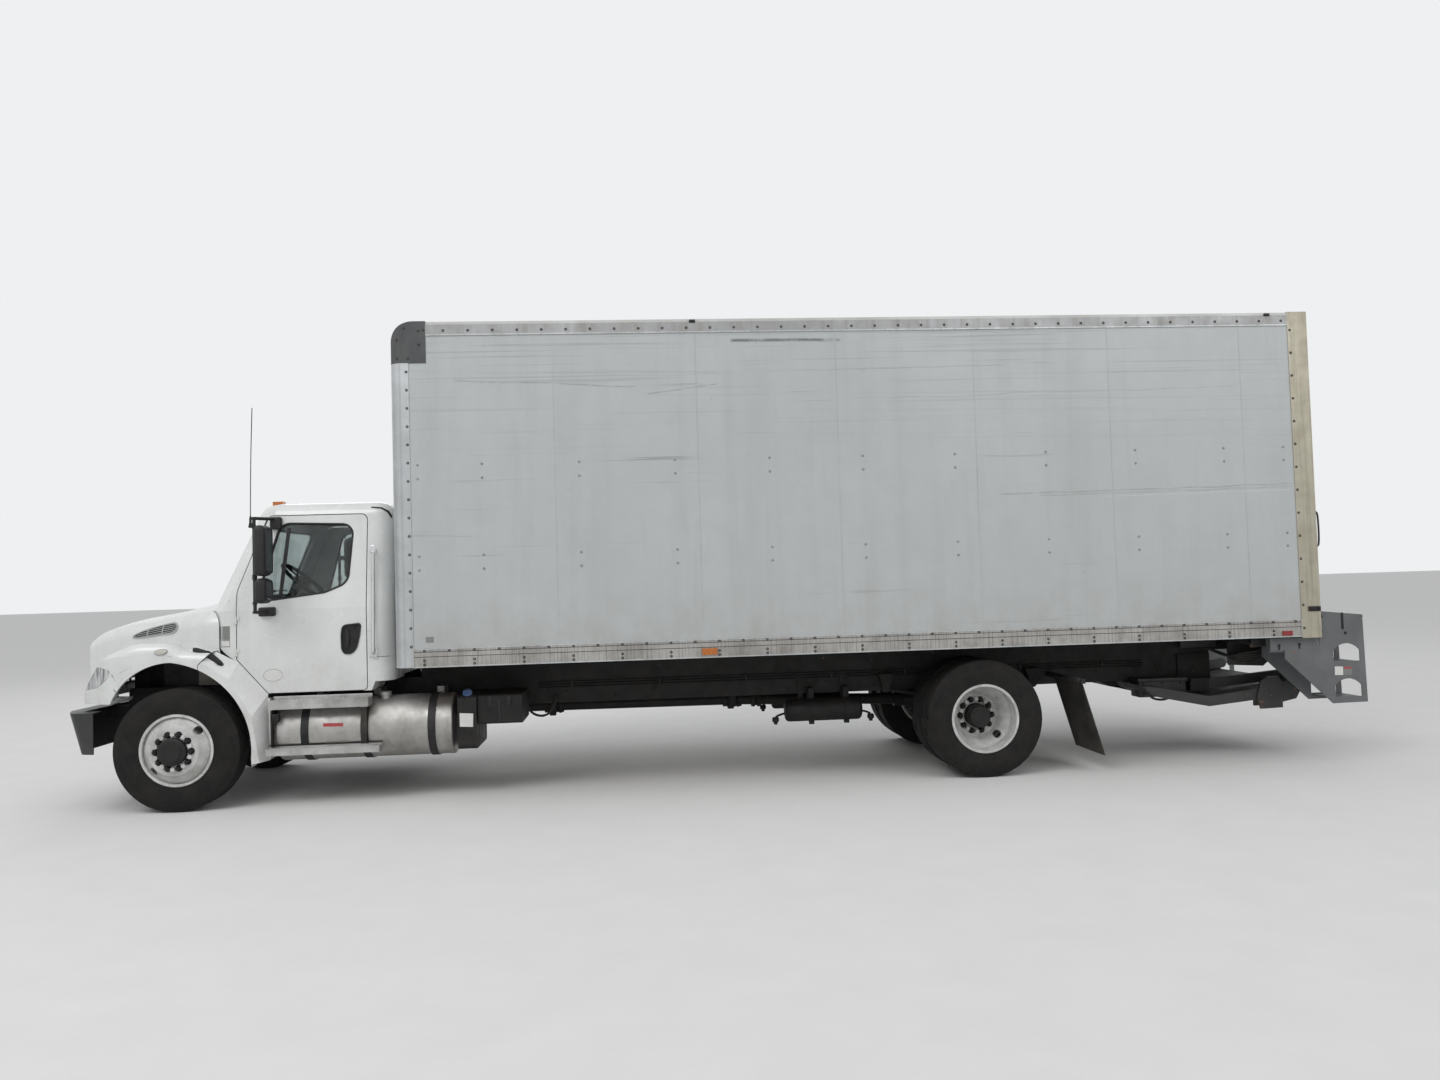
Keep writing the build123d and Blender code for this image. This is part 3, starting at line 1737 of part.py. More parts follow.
with BuildPart() as lift_platform:
    add(side_prism(outline(pack_outline), -pack_half, pack_half))
    brick(
        (station(-9060), station(-8380)),
        (-260, 260),
        (560, 720),
        mode=Mode.SUBTRACT,
    )
    for side in (-1, 1):
        low, high = sorted((side * (arm_y[1] + gate_gap), side * (arm_y[1] + gate_gap + 20)))
        lug_points = [
            (station(-9800), 640),
            (gate_hinge[0] + 36, gate_hinge[1] + 24),
            (gate_hinge[0] - 36, gate_hinge[1] + 24),
            (station(-9950), 612),
        ]
        add(side_prism(outline(lug_points), low, high))
        pin_low, pin_high = sorted((side * arm_y[0], side * (arm_y[1] + gate_gap + 20)))
        side_disc(gate_hinge, pin_radius, pin_low, pin_high)
        low, high = sorted((side * pack_half, side * (pack_half + side_plate)))
        add(side_prism(outline(hook_outline), low, high))
        add(side_prism(outline(swing_outline), low, high))
        roller_low, roller_high = sorted((side * 700, side * (pack_half + side_plate)))
        side_disc((station(-9947), 622), 34, roller_low, roller_high)
write(lift_platform.part, "lift_platform")

# Mudflaps behind the rear wheels, hung from a bracket on each rail
flap_top = (station(-7654), 798)
flap_bottom = (station(-7838), 149)
flap_y = (620, 1236)
flap_thickness = 9
with BuildPart() as mudflaps:
    for side in (-1, 1):
        low, high = sorted((side * flap_y[0], side * flap_y[1]))
        with BuildSketch(side_plane(high)):
            with BuildLine():
                Polyline(
                    flap_top,
                    flap_bottom,
                    (flap_bottom[0] - flap_thickness, flap_bottom[1]),
                    (flap_top[0] - flap_thickness, flap_top[1]),
                    close=True,
                )
            make_face()
        extrude(amount=high - low)
        brick(
            (flap_top[0] - 40, flap_top[0]),
            (side * rail_face_y, side * flap_y[1]),
            (flap_top[1] - 20, flap_top[1] + 20),
        )
write(mudflaps.part, "mudflaps")

# Mirrors, carried on a tube arm on each door
arm_x = station(-680)
mirror_arm_y = 1250
mirror_tube = 14
main_head = (station(-726), station(-819), 1222, 1432, 1920, 2335)
convex_head = (station(-726), station(-819), 1222, 1420, 1696, 1903)

with BuildPart() as side_mirror:
    with BuildLine() as arm_path:
        FilletPolyline(
            (arm_x - 60, cab_half - 10, 1625),
            (arm_x, mirror_arm_y, 1625),
            (arm_x, mirror_arm_y, 2400),
            (arm_x - 90, cab_half - 90, 2408),
            radius=45,
        )
    with BuildSketch(Plane(origin=arm_path.line @ 0, z_dir=arm_path.line % 0)):
        Circle(mirror_tube)
    sweep(path=arm_path.line)
    for x_front, x_rear, y_inner, y_outer, z_low, z_high in (main_head, convex_head):
        with BuildPart(mode=Mode.PRIVATE) as head:
            brick((x_rear, x_front), (y_inner, y_outer), (z_low, z_high))
            fillet(head.edges().filter_by(Axis.X), 34)
            fillet(head.faces().sort_by(Axis.X)[-1].edges(), 26)
        add(head.part)
        brick(
            (x_front - 20, arm_x),
            (mirror_arm_y - 18, mirror_arm_y + 18),
            ((z_low + z_high) / 2 - 22, (z_low + z_high) / 2 + 22),
        )
    brick((arm_x - 90, arm_x - 20), (cab_half - 4, cab_half + 26), (1590, 1655))
    add(cab_outer, mode=Mode.SUBTRACT)
write_pair(side_mirror.part, "mirror")

# Grab bars on the cab behind the doors
bar_radius = 13
grab_bar_x = station(-1590)
with BuildPart() as grab_bar:
    with BuildLine() as bar_path:
        FilletPolyline(
            (grab_bar_x, cab_half - 20, 1246),
            (grab_bar_x, cab_half + 52, 1246),
            (grab_bar_x, cab_half - 8, 2129),
            (grab_bar_x, cab_half - 95, 2129),
            radius=24,
        )
    with BuildSketch(Plane(origin=bar_path.line @ 0, z_dir=bar_path.line % 0)):
        Circle(bar_radius)
    sweep(path=bar_path.line)
    add(cab_outer, mode=Mode.SUBTRACT)
write_both(grab_bar.part, "grab_bars")

# Lamps: amber roof and side markers, red tail and header lamps
with BuildPart() as amber_lamps:
    for y in (-650, -165, 0, 165, 650):
        with Locations((station(-690), y, roof_z + 6)):
            Box(90, 70, 60)
    for side in (-1, 1):
        brick(
            (station(-4350), station(-4480)),
            (side * (body_half + 14), side * body_half),
            (1150, 1205),
        )
    add(cab_outer, mode=Mode.SUBTRACT)
write(amber_lamps.part, "amber_lamps")

with BuildPart() as red_lamps:
    for y in (-150, 0, 150):
        brick(
            (body_rear_x - 16, body_rear_x),
            (y - 50, y + 50),
            (header_low_z + 130, header_low_z + 165),
        )
    for side in (-1, 1):
        brick(
            (station(-9470), station(-9560)),
            (side * (body_half + 12), side * body_half),
            (1140, 1180),
        )
        with Locations(Location((tail_x + lamp_depth / 2 + 4, side * 1060, 1130), (0, 90, 0))):
            Cylinder(52, lamp_depth - 8)
write(red_lamps.part, "red_lamps")
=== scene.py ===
# Box truck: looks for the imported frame. Metres, +X forward, +Y to the truck's left
import math

import bmesh
import bpy
from mathutils import Matrix, Vector


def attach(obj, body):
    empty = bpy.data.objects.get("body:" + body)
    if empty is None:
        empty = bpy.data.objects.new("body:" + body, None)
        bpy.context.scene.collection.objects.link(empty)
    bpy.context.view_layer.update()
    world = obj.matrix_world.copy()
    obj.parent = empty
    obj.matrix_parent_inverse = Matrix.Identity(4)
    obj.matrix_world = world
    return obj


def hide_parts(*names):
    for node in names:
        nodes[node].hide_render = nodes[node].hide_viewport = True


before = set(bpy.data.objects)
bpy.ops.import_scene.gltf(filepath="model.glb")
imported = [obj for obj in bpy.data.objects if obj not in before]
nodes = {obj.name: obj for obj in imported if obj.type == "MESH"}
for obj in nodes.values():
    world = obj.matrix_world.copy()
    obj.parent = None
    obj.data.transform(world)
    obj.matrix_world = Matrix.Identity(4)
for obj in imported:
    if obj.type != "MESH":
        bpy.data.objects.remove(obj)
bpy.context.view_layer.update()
scene = bpy.context.scene

truck = {"frontAxleX": 4.6645, "wheelbase": 6.8, "axleHeight": 0.507}
frontX, rearAt, axleZ = truck["frontAxleX"], -truck["wheelbase"], truck["axleHeight"]


# Node helpers: every pattern runs on Object coordinates, in metres
def newMaterial(name):
    mat = bpy.data.materials.new(name)
    mat.use_nodes = True
    return mat, mat.node_tree.nodes["Principled BSDF"]


def addNode(mat, kind, **values):
    node = mat.node_tree.nodes.new("ShaderNode" + kind)
    for key, value in values.items():
        setattr(node, key, value)
    return node


# Fills a node's inputs: each with another node's output, a number or a colour
def feed(mat, node, values):
    for key, value in values.items():
        socket = node.inputs[key]
        if isinstance(value, bpy.types.NodeSocket):
            mat.node_tree.links.new(value, socket)
        else:
            socket.default_value = (*value, 1) if socket.type == "RGBA" else value


def place(mat, stretch=(1, 1, 1), shift=(0, 0, 0)):
    mapping = addNode(mat, "Mapping")
    coords = addNode(mat, "TexCoord").outputs["Object"]
    feed(mat, mapping, {"Vector": coords, "Scale": stretch, "Location": shift})
    return mapping.outputs["Vector"]


def noise(mat, scale, stretch=(1, 1, 1), detail=5, shift=(0, 0, 0)):
    tex = addNode(mat, "TexNoise")
    feed(mat, tex, {"Scale": scale, "Detail": detail, "Roughness": 0.6, "Vector": place(mat, stretch, shift)})
    return tex.outputs["Fac"]


def ramp(mat, source, stops):
    node = addNode(mat, "ValToRGB")
    band = node.color_ramp
    while len(band.elements) < len(stops):
        band.elements.new(0.5)
    for element, (position, value) in zip(band.elements, stops):
        element.position = position
        element.color = (*value, 1) if isinstance(value, tuple) else (value, value, value, 1)
    feed(mat, node, {"Fac": source})
    return node.outputs["Color"]


def blendColor(mat, amount, low, high):
    node = addNode(mat, "Mix", data_type="RGBA")
    feed(mat, node, {0: amount, 6: low, 7: high})
    return node.outputs[2]


def maths(mat, operation, first, second=0.0, clamp=False):
    node = addNode(mat, "Math", operation=operation, use_clamp=clamp)
    feed(mat, node, {0: first, 1: second})
    return node.outputs[0]


def times(mat, first, second):
    return maths(mat, "MULTIPLY", first, second, True)


def spread(mat, value, low, high, toLow=0.0, toHigh=1.0, clamp=True):
    node = addNode(mat, "MapRange", clamp=clamp)
    feed(mat, node, {"Value": value, "From Min": low, "From Max": high, "To Min": toLow, "To Max": toHigh})
    return node.outputs["Result"]


def alongAxis(mat, axis):
    split = addNode(mat, "SeparateXYZ")
    feed(mat, split, {0: place(mat)})
    return split.outputs[axis]


def heightBand(mat, full, none):  # 1 at the height full, 0 at the height none
    return spread(mat, alongAxis(mat, "Z"), none, full)


# A long scratch on the truck's left side, from one (metres ahead of the axle, height) to another
def scratch(mat, start, end, width, wobble):
    alongX = alongAxis(mat, "X")
    fore, aft = frontX + start[0], frontX + end[0]
    line = spread(mat, alongX, fore, aft, start[1], end[1], False)
    drift = spread(mat, noise(mat, 1.1, (1, 0, 0), 4, (start[1] * 7, 0, 0)), 0.3, 0.7, -wobble, wobble)
    gap = maths(mat, "SUBTRACT", maths(mat, "SUBTRACT", alongAxis(mat, "Z"), line), drift)
    core = spread(mat, maths(mat, "ABSOLUTE", gap), 0, width, 1, 0)
    ends = ramp(mat, spread(mat, alongX, fore, aft), [(0.001, 0), (0.03, 1), (0.97, 1), (0.999, 0)])
    broken = ramp(mat, noise(mat, 7, (1, 0, 1), 3), [(0.36, 0.2), (0.55, 1)])
    onLeft = spread(mat, alongAxis(mat, "Y"), 0.2, 0.22)
    return times(mat, times(mat, core, ends), times(mat, broken, onLeft))


def bumpFrom(mat, height, distance):
    node = addNode(mat, "Bump")
    feed(mat, node, {"Strength": 1.0, "Distance": distance, "Height": height})
    feed(mat, mat.node_tree.nodes["Principled BSDF"], {"Normal": node.outputs["Normal"]})


# One recipe for every weathered surface: base colour and its drift, then layers of wear and dirt
def weathered(name, look):
    mat, shader = newMaterial(name)
    feed(mat, shader, {"Metallic": look.get("metallic", 0.0), "Coat Weight": look.get("coat", 0.0),
                       "Coat Roughness": 0.12, "Specular IOR Level": look.get("specular", 0.5)})
    base = look["color"]
    drift = tuple(min(1, c * look.get("drift", 0.9)) for c in base)
    cloud = noise(mat, look.get("cloudScale", 1.3), detail=6)
    color = blendColor(mat, ramp(mat, cloud, [(0.35, 0), (0.7, 1)]), base, drift)
    if "streaks" in look:  # strength, colour, stretch
        strength, tint, stretch = look["streaks"]
        run = ramp(mat, noise(mat, 1, stretch, detail=8), [(0.48, 0), (0.68, strength)])
        color = blendColor(mat, run, color, tint)
    if "scuffs" in look:  # strength, colour, stretch
        strength, tint, stretch = look["scuffs"]
        fine = ramp(mat, noise(mat, 1, stretch, detail=3), [(0.66, 0), (0.72, 1)])
        where = ramp(mat, noise(mat, 0.8, detail=2, shift=(3, 1, 7)), [(0.45, 0), (0.6, strength)])
        color = blendColor(mat, times(mat, fine, where), color, tint)
    if "fineLines" in look:  # strength, colour, stretch, heights of most and none
        strength, tint, stretch, (most, none) = look["fineLines"]
        fine = ramp(mat, noise(mat, 1, stretch, detail=4, shift=(2, 5, 1)), [(0.57, 0), (0.62, 1)])
        fine = times(mat, fine, times(mat, heightBand(mat, most, none), strength))
        color = blendColor(mat, fine, color, tint)
    if "chips" in look:  # scale, threshold, colour
        scale, threshold, tint = look["chips"]
        spots = ramp(mat, noise(mat, scale, detail=3), [(threshold, 0), (threshold + 0.02, 1)])
        color = blendColor(mat, spots, color, tint)
    for start, end, width, wobble, strength, tint in look.get("marks", ()):
        mark = times(mat, scratch(mat, start, end, width, wobble), strength)
        color = blendColor(mat, mark, color, tint)
    if "paintedShade" in look:  # painted shade: a dark band between two heights
        low, high, tint = look["paintedShade"]
        band = times(mat, heightBand(mat, high, high + 0.004), heightBand(mat, low, low - 0.004))
        color = blendColor(mat, band, color, tint)
    cloud = noise(mat, look.get("dirtScale", 5), detail=9, shift=(1, 2, 3))
    patch = ramp(mat, cloud, [(0.38, 0), (0.66, 1)])
    dirt = times(mat, patch, look.get("dirt", 0.25))
    if "dirtBand" in look:  # height of most, height of none, strength
        full, none, most = look["dirtBand"]
        uneven = ramp(mat, patch, [(0, 0.35), (1, 1)])
        low = times(mat, times(mat, heightBand(mat, full, none), uneven), most)
        dirt = maths(mat, "ADD", dirt, low, True)
    color = blendColor(mat, dirt, color, look.get("dirtTint", (0.24, 0.21, 0.17)))
    smooth, rough = look.get("roughness", (0.4, 0.6))
    wear = noise(mat, 9, detail=7, shift=(5, 0, 2))
    gloss = ramp(mat, wear, [(0.3, smooth), (0.72, rough)])
    gloss = maths(mat, "ADD", gloss, times(mat, dirt, 0.35), True)
    feed(mat, shader, {"Base Color": color, "Roughness": gloss})
    grainScale, grainDepth = look.get("grain", (60, 0.0004))
    bumpFrom(mat, noise(mat, grainScale, look.get("grainStretch", (1, 1, 1)), detail=4), grainDepth)
    return mat


roadDust = (0.23, 0.2, 0.165)
soot = (0.05, 0.047, 0.042)
looks = {
    "cabPaint": dict(color=(0.76, 0.775, 0.77), drift=0.955, roughness=(0.16, 0.3), coat=0.35, dirt=0.07,
        dirtBand=(0.45, 1.35, 0.38), dirtTint=roadDust, grain=(90, 0.00012),
        streaks=(0.16, (0.5, 0.48, 0.43), (9, 9, 0.7)), chips=(38, 0.735, (0.2, 0.19, 0.18))),
    # Box panels: the white paint is given as mid grey, which is painted shade on the box side; the dirt,
    # streaks, scuffs, fine lines and marks are wear
    "bodyPanelPaintedShade": dict(color=(0.5, 0.525, 0.53), drift=0.94, roughness=(0.26, 0.45), dirt=0.1,
        dirtBand=(1.25, 1.75, 0.3), dirtTint=(0.33, 0.31, 0.27), grain=(14, 0.0012),
        streaks=(0.3, (0.4, 0.405, 0.395), (5, 5, 0.35)), cloudScale=0.7,
        scuffs=(0.75, (0.27, 0.28, 0.285), (0.5, 1, 34)),
        fineLines=(0.5, (0.3, 0.31, 0.315), (0.35, 1, 46), (3.8, 2.7)),
        marks=[((-6.95, 2.448), (-9.65, 2.478), 0.009, 0.014, 0.55, (0.2, 0.2, 0.2)),
               ((-7.3, 2.430), (-9.65, 2.452), 0.007, 0.012, 0.5, (0.2, 0.2, 0.2)),
               ((-7.9, 2.408), (-9.65, 2.425), 0.007, 0.012, 0.45, (0.7, 0.71, 0.7)),
               ((-4.66, 3.826), (-5.63, 3.815), 0.020, 0.004, 0.9, (0.06, 0.06, 0.06)),
               ((-2.33, 3.517), (-3.87, 3.436), 0.009, 0.010, 0.6, (0.2, 0.2, 0.2)),
               ((-3.94, 3.367), (-4.55, 3.451), 0.009, 0.010, 0.6, (0.2, 0.2, 0.2)),
               ((-5.2, 3.55), (-7.1, 3.58), 0.007, 0.012, 0.45, (0.22, 0.22, 0.22)),
               ((-6.0, 3.30), (-9.2, 3.36), 0.007, 0.020, 0.4, (0.24, 0.24, 0.24))]),
    "roofSheet": dict(color=(0.7, 0.71, 0.7), roughness=(0.35, 0.6), dirt=0.35, dirtScale=2.5,
        dirtTint=(0.36, 0.34, 0.3), streaks=(0.3, (0.4, 0.39, 0.36), (0.4, 5, 1))),
    "chassisPaint": dict(color=(0.009, 0.009, 0.0095), drift=1.5, roughness=(0.42, 0.7), dirt=0.34,
        specular=0.3, dirtTint=(0.05, 0.044, 0.037), chips=(26, 0.7, (0.13, 0.055, 0.025)),
        grain=(130, 0.0005)),
    "bumperPaint": dict(color=(0.018, 0.019, 0.021), drift=1.3, roughness=(0.3, 0.5), dirt=0.14,
        dirtBand=(0.5, 0.75, 0.3), dirtTint=(0.07, 0.065, 0.058), chips=(45, 0.7, (0.17, 0.16, 0.15))),
    "wheelPaint": dict(color=(0.68, 0.69, 0.68), drift=0.9, roughness=(0.3, 0.5), dirt=0.5, dirtScale=11,
        dirtTint=(0.26, 0.235, 0.2), chips=(30, 0.69, (0.2, 0.1, 0.05)), coat=0.1),
    "tyreRubber": dict(color=(0.011, 0.011, 0.011), drift=1.35, roughness=(0.66, 0.88), dirt=0.32,
        dirtTint=(0.048, 0.043, 0.037), grain=(180, 0.0007), specular=0.2, dirtScale=9),
    "engineIron": dict(color=(0.12, 0.12, 0.125), roughness=(0.5, 0.75), metallic=0.3, dirt=0.5,
        dirtTint=soot, grain=(70, 0.0012), chips=(18, 0.66, (0.16, 0.075, 0.035))),
    "trimPlastic": dict(color=(0.014, 0.014, 0.015), drift=1.4, roughness=(0.45, 0.66), dirt=0.2,
        specular=0.35, dirtTint=(0.08, 0.075, 0.07), grain=(320, 0.0006)),
    "tankMetal": dict(color=(0.5, 0.49, 0.475), metallic=0.85, drift=0.8, roughness=(0.3, 0.55),
        dirt=0.42, dirtTint=(0.17, 0.155, 0.13), streaks=(0.5, (0.24, 0.22, 0.19), (6, 6, 1.4)),
        grain=(40, 0.0006), grainStretch=(0.15, 4, 4)),
    "stepMetal": dict(color=(0.52, 0.52, 0.51), metallic=0.8, drift=0.8, roughness=(0.3, 0.6), dirt=0.5,
        dirtTint=(0.14, 0.13, 0.11), grain=(60, 0.0008), grainStretch=(0.2, 3, 3),
        # The near-black band between 0.50 and 0.80 m is painted shade between the two steps
        paintedShade=(0.50, 0.80, (0.02, 0.02, 0.021))),
    "railMetal": dict(color=(0.47, 0.46, 0.44), metallic=0.6, drift=0.82, roughness=(0.4, 0.62),
        dirt=0.45, dirtTint=(0.16, 0.145, 0.125), streaks=(0.62, (0.13, 0.12, 0.105), (64, 64, 1.6)),
        grain=(50, 0.0006)),
    "topRailMetal": dict(color=(0.42, 0.425, 0.43), metallic=0.55, drift=0.85, roughness=(0.38, 0.58),
        dirt=0.3, dirtTint=(0.2, 0.185, 0.165), streaks=(0.5, (0.22, 0.21, 0.19), (14, 14, 1))),
    "postMetal": dict(color=(0.58, 0.6, 0.61), metallic=0.6, drift=0.85, roughness=(0.3, 0.5), dirt=0.3,
        dirtTint=(0.24, 0.23, 0.21), streaks=(0.6, (0.3, 0.32, 0.34), (26, 26, 0.12)),
        grain=(40, 0.0006)),
    # The seam strips share the box's mid grey: painted shade on white paint
    "panelSeam": dict(color=(0.5, 0.515, 0.52), roughness=(0.4, 0.6), dirt=0.3,
        dirtTint=(0.3, 0.29, 0.26)),
    "rivetMetal": dict(color=(0.2, 0.2, 0.2), metallic=0.5, roughness=(0.4, 0.6), dirt=0.4,
        dirtTint=(0.1, 0.09, 0.08)),
    "panelBolt": dict(color=(0.3, 0.315, 0.32), drift=1.25, roughness=(0.4, 0.6), dirt=0.35,
        dirtTint=(0.2, 0.19, 0.17)),
    # Rail rivets: near-black heads, each a bolt with painted shade round it
    "darkBoltAndPaintedShade": dict(color=(0.05, 0.05, 0.05), drift=1.6, metallic=0.3, roughness=(0.45, 0.65), dirt=0.35,
        dirtTint=(0.1, 0.085, 0.07)),
    "blankLabel": dict(color=(0.74, 0.74, 0.72), drift=0.94, roughness=(0.35, 0.5), dirt=0.15),
    "greyLabel": dict(color=(0.2, 0.205, 0.2), drift=1.2, roughness=(0.4, 0.55), dirt=0.15),
    "redLabel": dict(color=(0.42, 0.03, 0.04), drift=0.85, roughness=(0.4, 0.55), dirt=0.3),
    "ventGrey": dict(color=(0.42, 0.43, 0.43), drift=0.9, roughness=(0.4, 0.6), dirt=0.2),
    "linerPlastic": dict(color=(0.36, 0.34, 0.3), drift=0.8, roughness=(0.5, 0.7), dirt=0.45,
        dirtTint=(0.14, 0.12, 0.1)),
    "blueCap": dict(color=(0.03, 0.12, 0.32), drift=0.8, roughness=(0.35, 0.55), dirt=0.35),
    "mirrorGlass": dict(color=(0.6, 0.63, 0.65), metallic=1.0, roughness=(0.02, 0.08), dirt=0.05,
        grain=(30, 0.00005)),
    # Near black: the own colour of black bolts, seams and handle pockets, and painted shade inside the hood
    # vents and in the rail grooves
    "blackAndPaintedShade": dict(color=(0.012, 0.012, 0.013), roughness=(0.7, 0.9), dirt=0.2,
        dirtTint=(0.04, 0.037, 0.033)),
    "capCasting": dict(color=(0.05, 0.052, 0.056), drift=1.5, roughness=(0.45, 0.7), dirt=0.3,
        dirtTint=(0.16, 0.155, 0.14), scuffs=(0.8, (0.22, 0.22, 0.21), (3, 1, 25))),
    "floorBoards": dict(color=(0.3, 0.19, 0.1), drift=0.7, roughness=(0.5, 0.75), dirt=0.4,
        dirtTint=(0.12, 0.09, 0.06), streaks=(0.6, (0.16, 0.1, 0.055), (1.2, 40, 1))),
    "postSteel": dict(color=(0.47, 0.445, 0.36), metallic=0.75, drift=0.86, roughness=(0.34, 0.55),
        dirt=0.3, dirtTint=(0.2, 0.17, 0.12), streaks=(0.5, (0.22, 0.19, 0.13), (22, 22, 0.9)),
        scuffs=(0.9, (0.14, 0.13, 0.12), (30, 30, 3))),
    "dockPaint": dict(color=(0.15, 0.158, 0.165), drift=0.75, roughness=(0.42, 0.65), dirt=0.35,
        dirtTint=(0.09, 0.083, 0.075), chips=(24, 0.68, (0.2, 0.1, 0.055)),
        scuffs=(0.9, (0.3, 0.3, 0.29), (3, 3, 22))),
    "gatePaint": dict(color=(0.024, 0.025, 0.027), drift=1.5, roughness=(0.4, 0.66), dirt=0.4,
        dirtTint=(0.065, 0.058, 0.05), chips=(20, 0.66, (0.15, 0.07, 0.035))),
    "flapRubber": dict(color=(0.02, 0.02, 0.02), roughness=(0.6, 0.85), dirt=0.3,
        dirtBand=(0.15, 0.6, 0.4), dirtTint=(0.13, 0.115, 0.095), grain=(90, 0.0006), specular=0.3),
    "brightPlate": dict(color=(0.7, 0.7, 0.71), metallic=1.0, roughness=(0.07, 0.2), dirt=0.12,
        grain=(200, 0.0001)),
    "doorPanel": dict(color=(0.7, 0.715, 0.71), roughness=(0.35, 0.55), dirt=0.28,
        dirtBand=(1.3, 2.2, 0.3), dirtTint=(0.28, 0.26, 0.22),
        scuffs=(0.8, (0.25, 0.25, 0.24), (1, 3, 24))),
    "seatCloth": dict(color=(0.11, 0.112, 0.12), roughness=(0.8, 0.95), dirt=0.2, grain=(700, 0.0006)),
}
looks["hoodPaint"] = dict(looks["cabPaint"], marks=[
    ((0.505, 1.150), (0.468, 1.092), 0.012, 0.004, 1.0, (0.05, 0.05, 0.05)),
    ((0.488, 1.026), (0.470, 1.004), 0.012, 0.003, 1.0, (0.05, 0.05, 0.05)),
    ((0.440, 1.158), (0.345, 1.205), 0.007, 0.004, 0.7, (0.16, 0.16, 0.16)),
    ((0.462, 1.045), (0.405, 1.128), 0.007, 0.004, 0.6, (0.2, 0.2, 0.2)),
    ((0.060, 1.288), (0.020, 1.276), 0.006, 0.004, 0.6, (0.25, 0.25, 0.25))])
materials = {name: weathered(name, look) for name, look in looks.items()}


def clearGlass(name, tint, roughness):
    mat, shader = newMaterial(name)
    dim = tuple(c * 0.82 for c in tint)
    film = ramp(mat, noise(mat, 3, (1, 1, 2), detail=8), [(0.4, tint), (0.8, dim)])
    haze = ramp(mat, noise(mat, 6, detail=8), [(0.35, roughness), (0.8, roughness + 0.09)])
    feed(mat, shader, {"Transmission Weight": 1.0, "IOR": 1.45, "Base Color": film, "Roughness": haze})
    return mat


def lens(name, tint, glow):
    mat, shader = newMaterial(name)
    cells = addNode(mat, "TexVoronoi", feature="F1")
    feed(mat, cells, {"Scale": 120, "Vector": place(mat)})
    color = ramp(mat, cells.outputs["Distance"], [(0, glow), (0.6, tint)])
    gloss = ramp(mat, noise(mat, 25), [(0.3, 0.1), (0.8, 0.3)])
    feed(mat, shader, {"Coat Weight": 0.6, "Transmission Weight": 0.25, "Base Color": color,
                       "Roughness": gloss})
    bumpFrom(mat, cells.outputs["Distance"], 0.0008)
    return mat


# Moulded headlamp cover: vertical flutes with pale stripes that are painted highlights, an amber reflector in
# the lower rear corner
def flutedLens(name, pale, dark, amber):
    mat, shader = newMaterial(name)
    # The pale stripes along the flutes are painted highlights; the same pattern bumps the flutes
    flutesAndHighlights = ramp(mat, noise(mat, 1, (34, 34, 5), 3), [(0.36, dark), (0.6, pale)])
    rear = spread(mat, alongAxis(mat, "X"), frontX + 0.585, frontX + 0.555)
    low = times(mat, heightBand(mat, 1.098, 1.108), heightBand(mat, 1.035, 1.025))
    color = blendColor(mat, times(mat, times(mat, rear, low), 0.65), flutesAndHighlights, amber)
    feed(mat, shader, {"Metallic": 0.3, "Roughness": 0.16, "Coat Weight": 1.0, "Coat Roughness": 0.04,
                       "Base Color": color})
    bumpFrom(mat, flutesAndHighlights, 0.0006)
    return mat


materials["cabGlass"] = clearGlass("cabGlass", (0.62, 0.68, 0.67), 0.02)
materials["lampClear"] = flutedLens("lampClear", (0.7, 0.71, 0.72), (0.16, 0.165, 0.17), (0.72, 0.27, 0.08))
for name, tint, glow in (("lampAmber", (0.55, 0.13, 0.01), (0.9, 0.34, 0.03)),
                         ("markerClear", (0.62, 0.6, 0.52), (0.8, 0.79, 0.74)),
                         ("lampRed", (0.28, 0.008, 0.008), (0.55, 0.03, 0.02))):
    materials[name] = lens(name, tint, glow)
print("materials ready:", len(materials))

finishOf = {
    "chassisPaint": "frame_rails crossmembers front_axle knuckle_left knuckle_right tie_rod rear_axle"
                    " leaf_springs radiator driveshaft exhaust frame_boxes air_tanks liftgate_frame"
                    " floor_beams",
    "bumperPaint": "front_bumper",
    "tyreRubber": "tyre_front_left tyre_front_right tyres_rear_left tyres_rear_right",
    "wheelPaint": "wheel_front_left wheel_front_right wheels_rear_left wheels_rear_right",
    "engineIron": "engine",
    "cabPaint": "cab_shell door_left door_right quarter_fenders",
    "hoodPaint": "hood",
    "cabGlass": "cab_glass door_glass_left door_glass_right",
    "trimPlastic": "dashboard steering_wheel grille mirror_left mirror_right",
    "seatCloth": "seats",
    "lampClear": "headlights",
    "tankMetal": "fuel_tank",
    "stepMetal": "cab_steps",
    "bodyPanelPaintedShade": "body_front body_sides",
    "roofSheet": "body_roof",
    "railMetal": "bottom_rails",
    "postMetal": "front_posts",
    "topRailMetal": "top_rails",
    "capCasting": "corner_caps",
    "floorBoards": "body_floor",
    "postSteel": "rear_frame",
    "doorPanel": "rear_door",
    "dockPaint": "dock_steps",
    "gatePaint": "lift_arms lift_platform",
    "flapRubber": "mudflaps",
    "brightPlate": "grab_bars",
    "lampAmber": "amber_lamps",
    "lampRed": "red_lamps",
}
for finish, members in finishOf.items():
    for member in members.split():
        mesh = nodes[member].data
        mesh.materials.clear()
        mesh.materials.append(materials[finish])
print("frame pieces dressed")

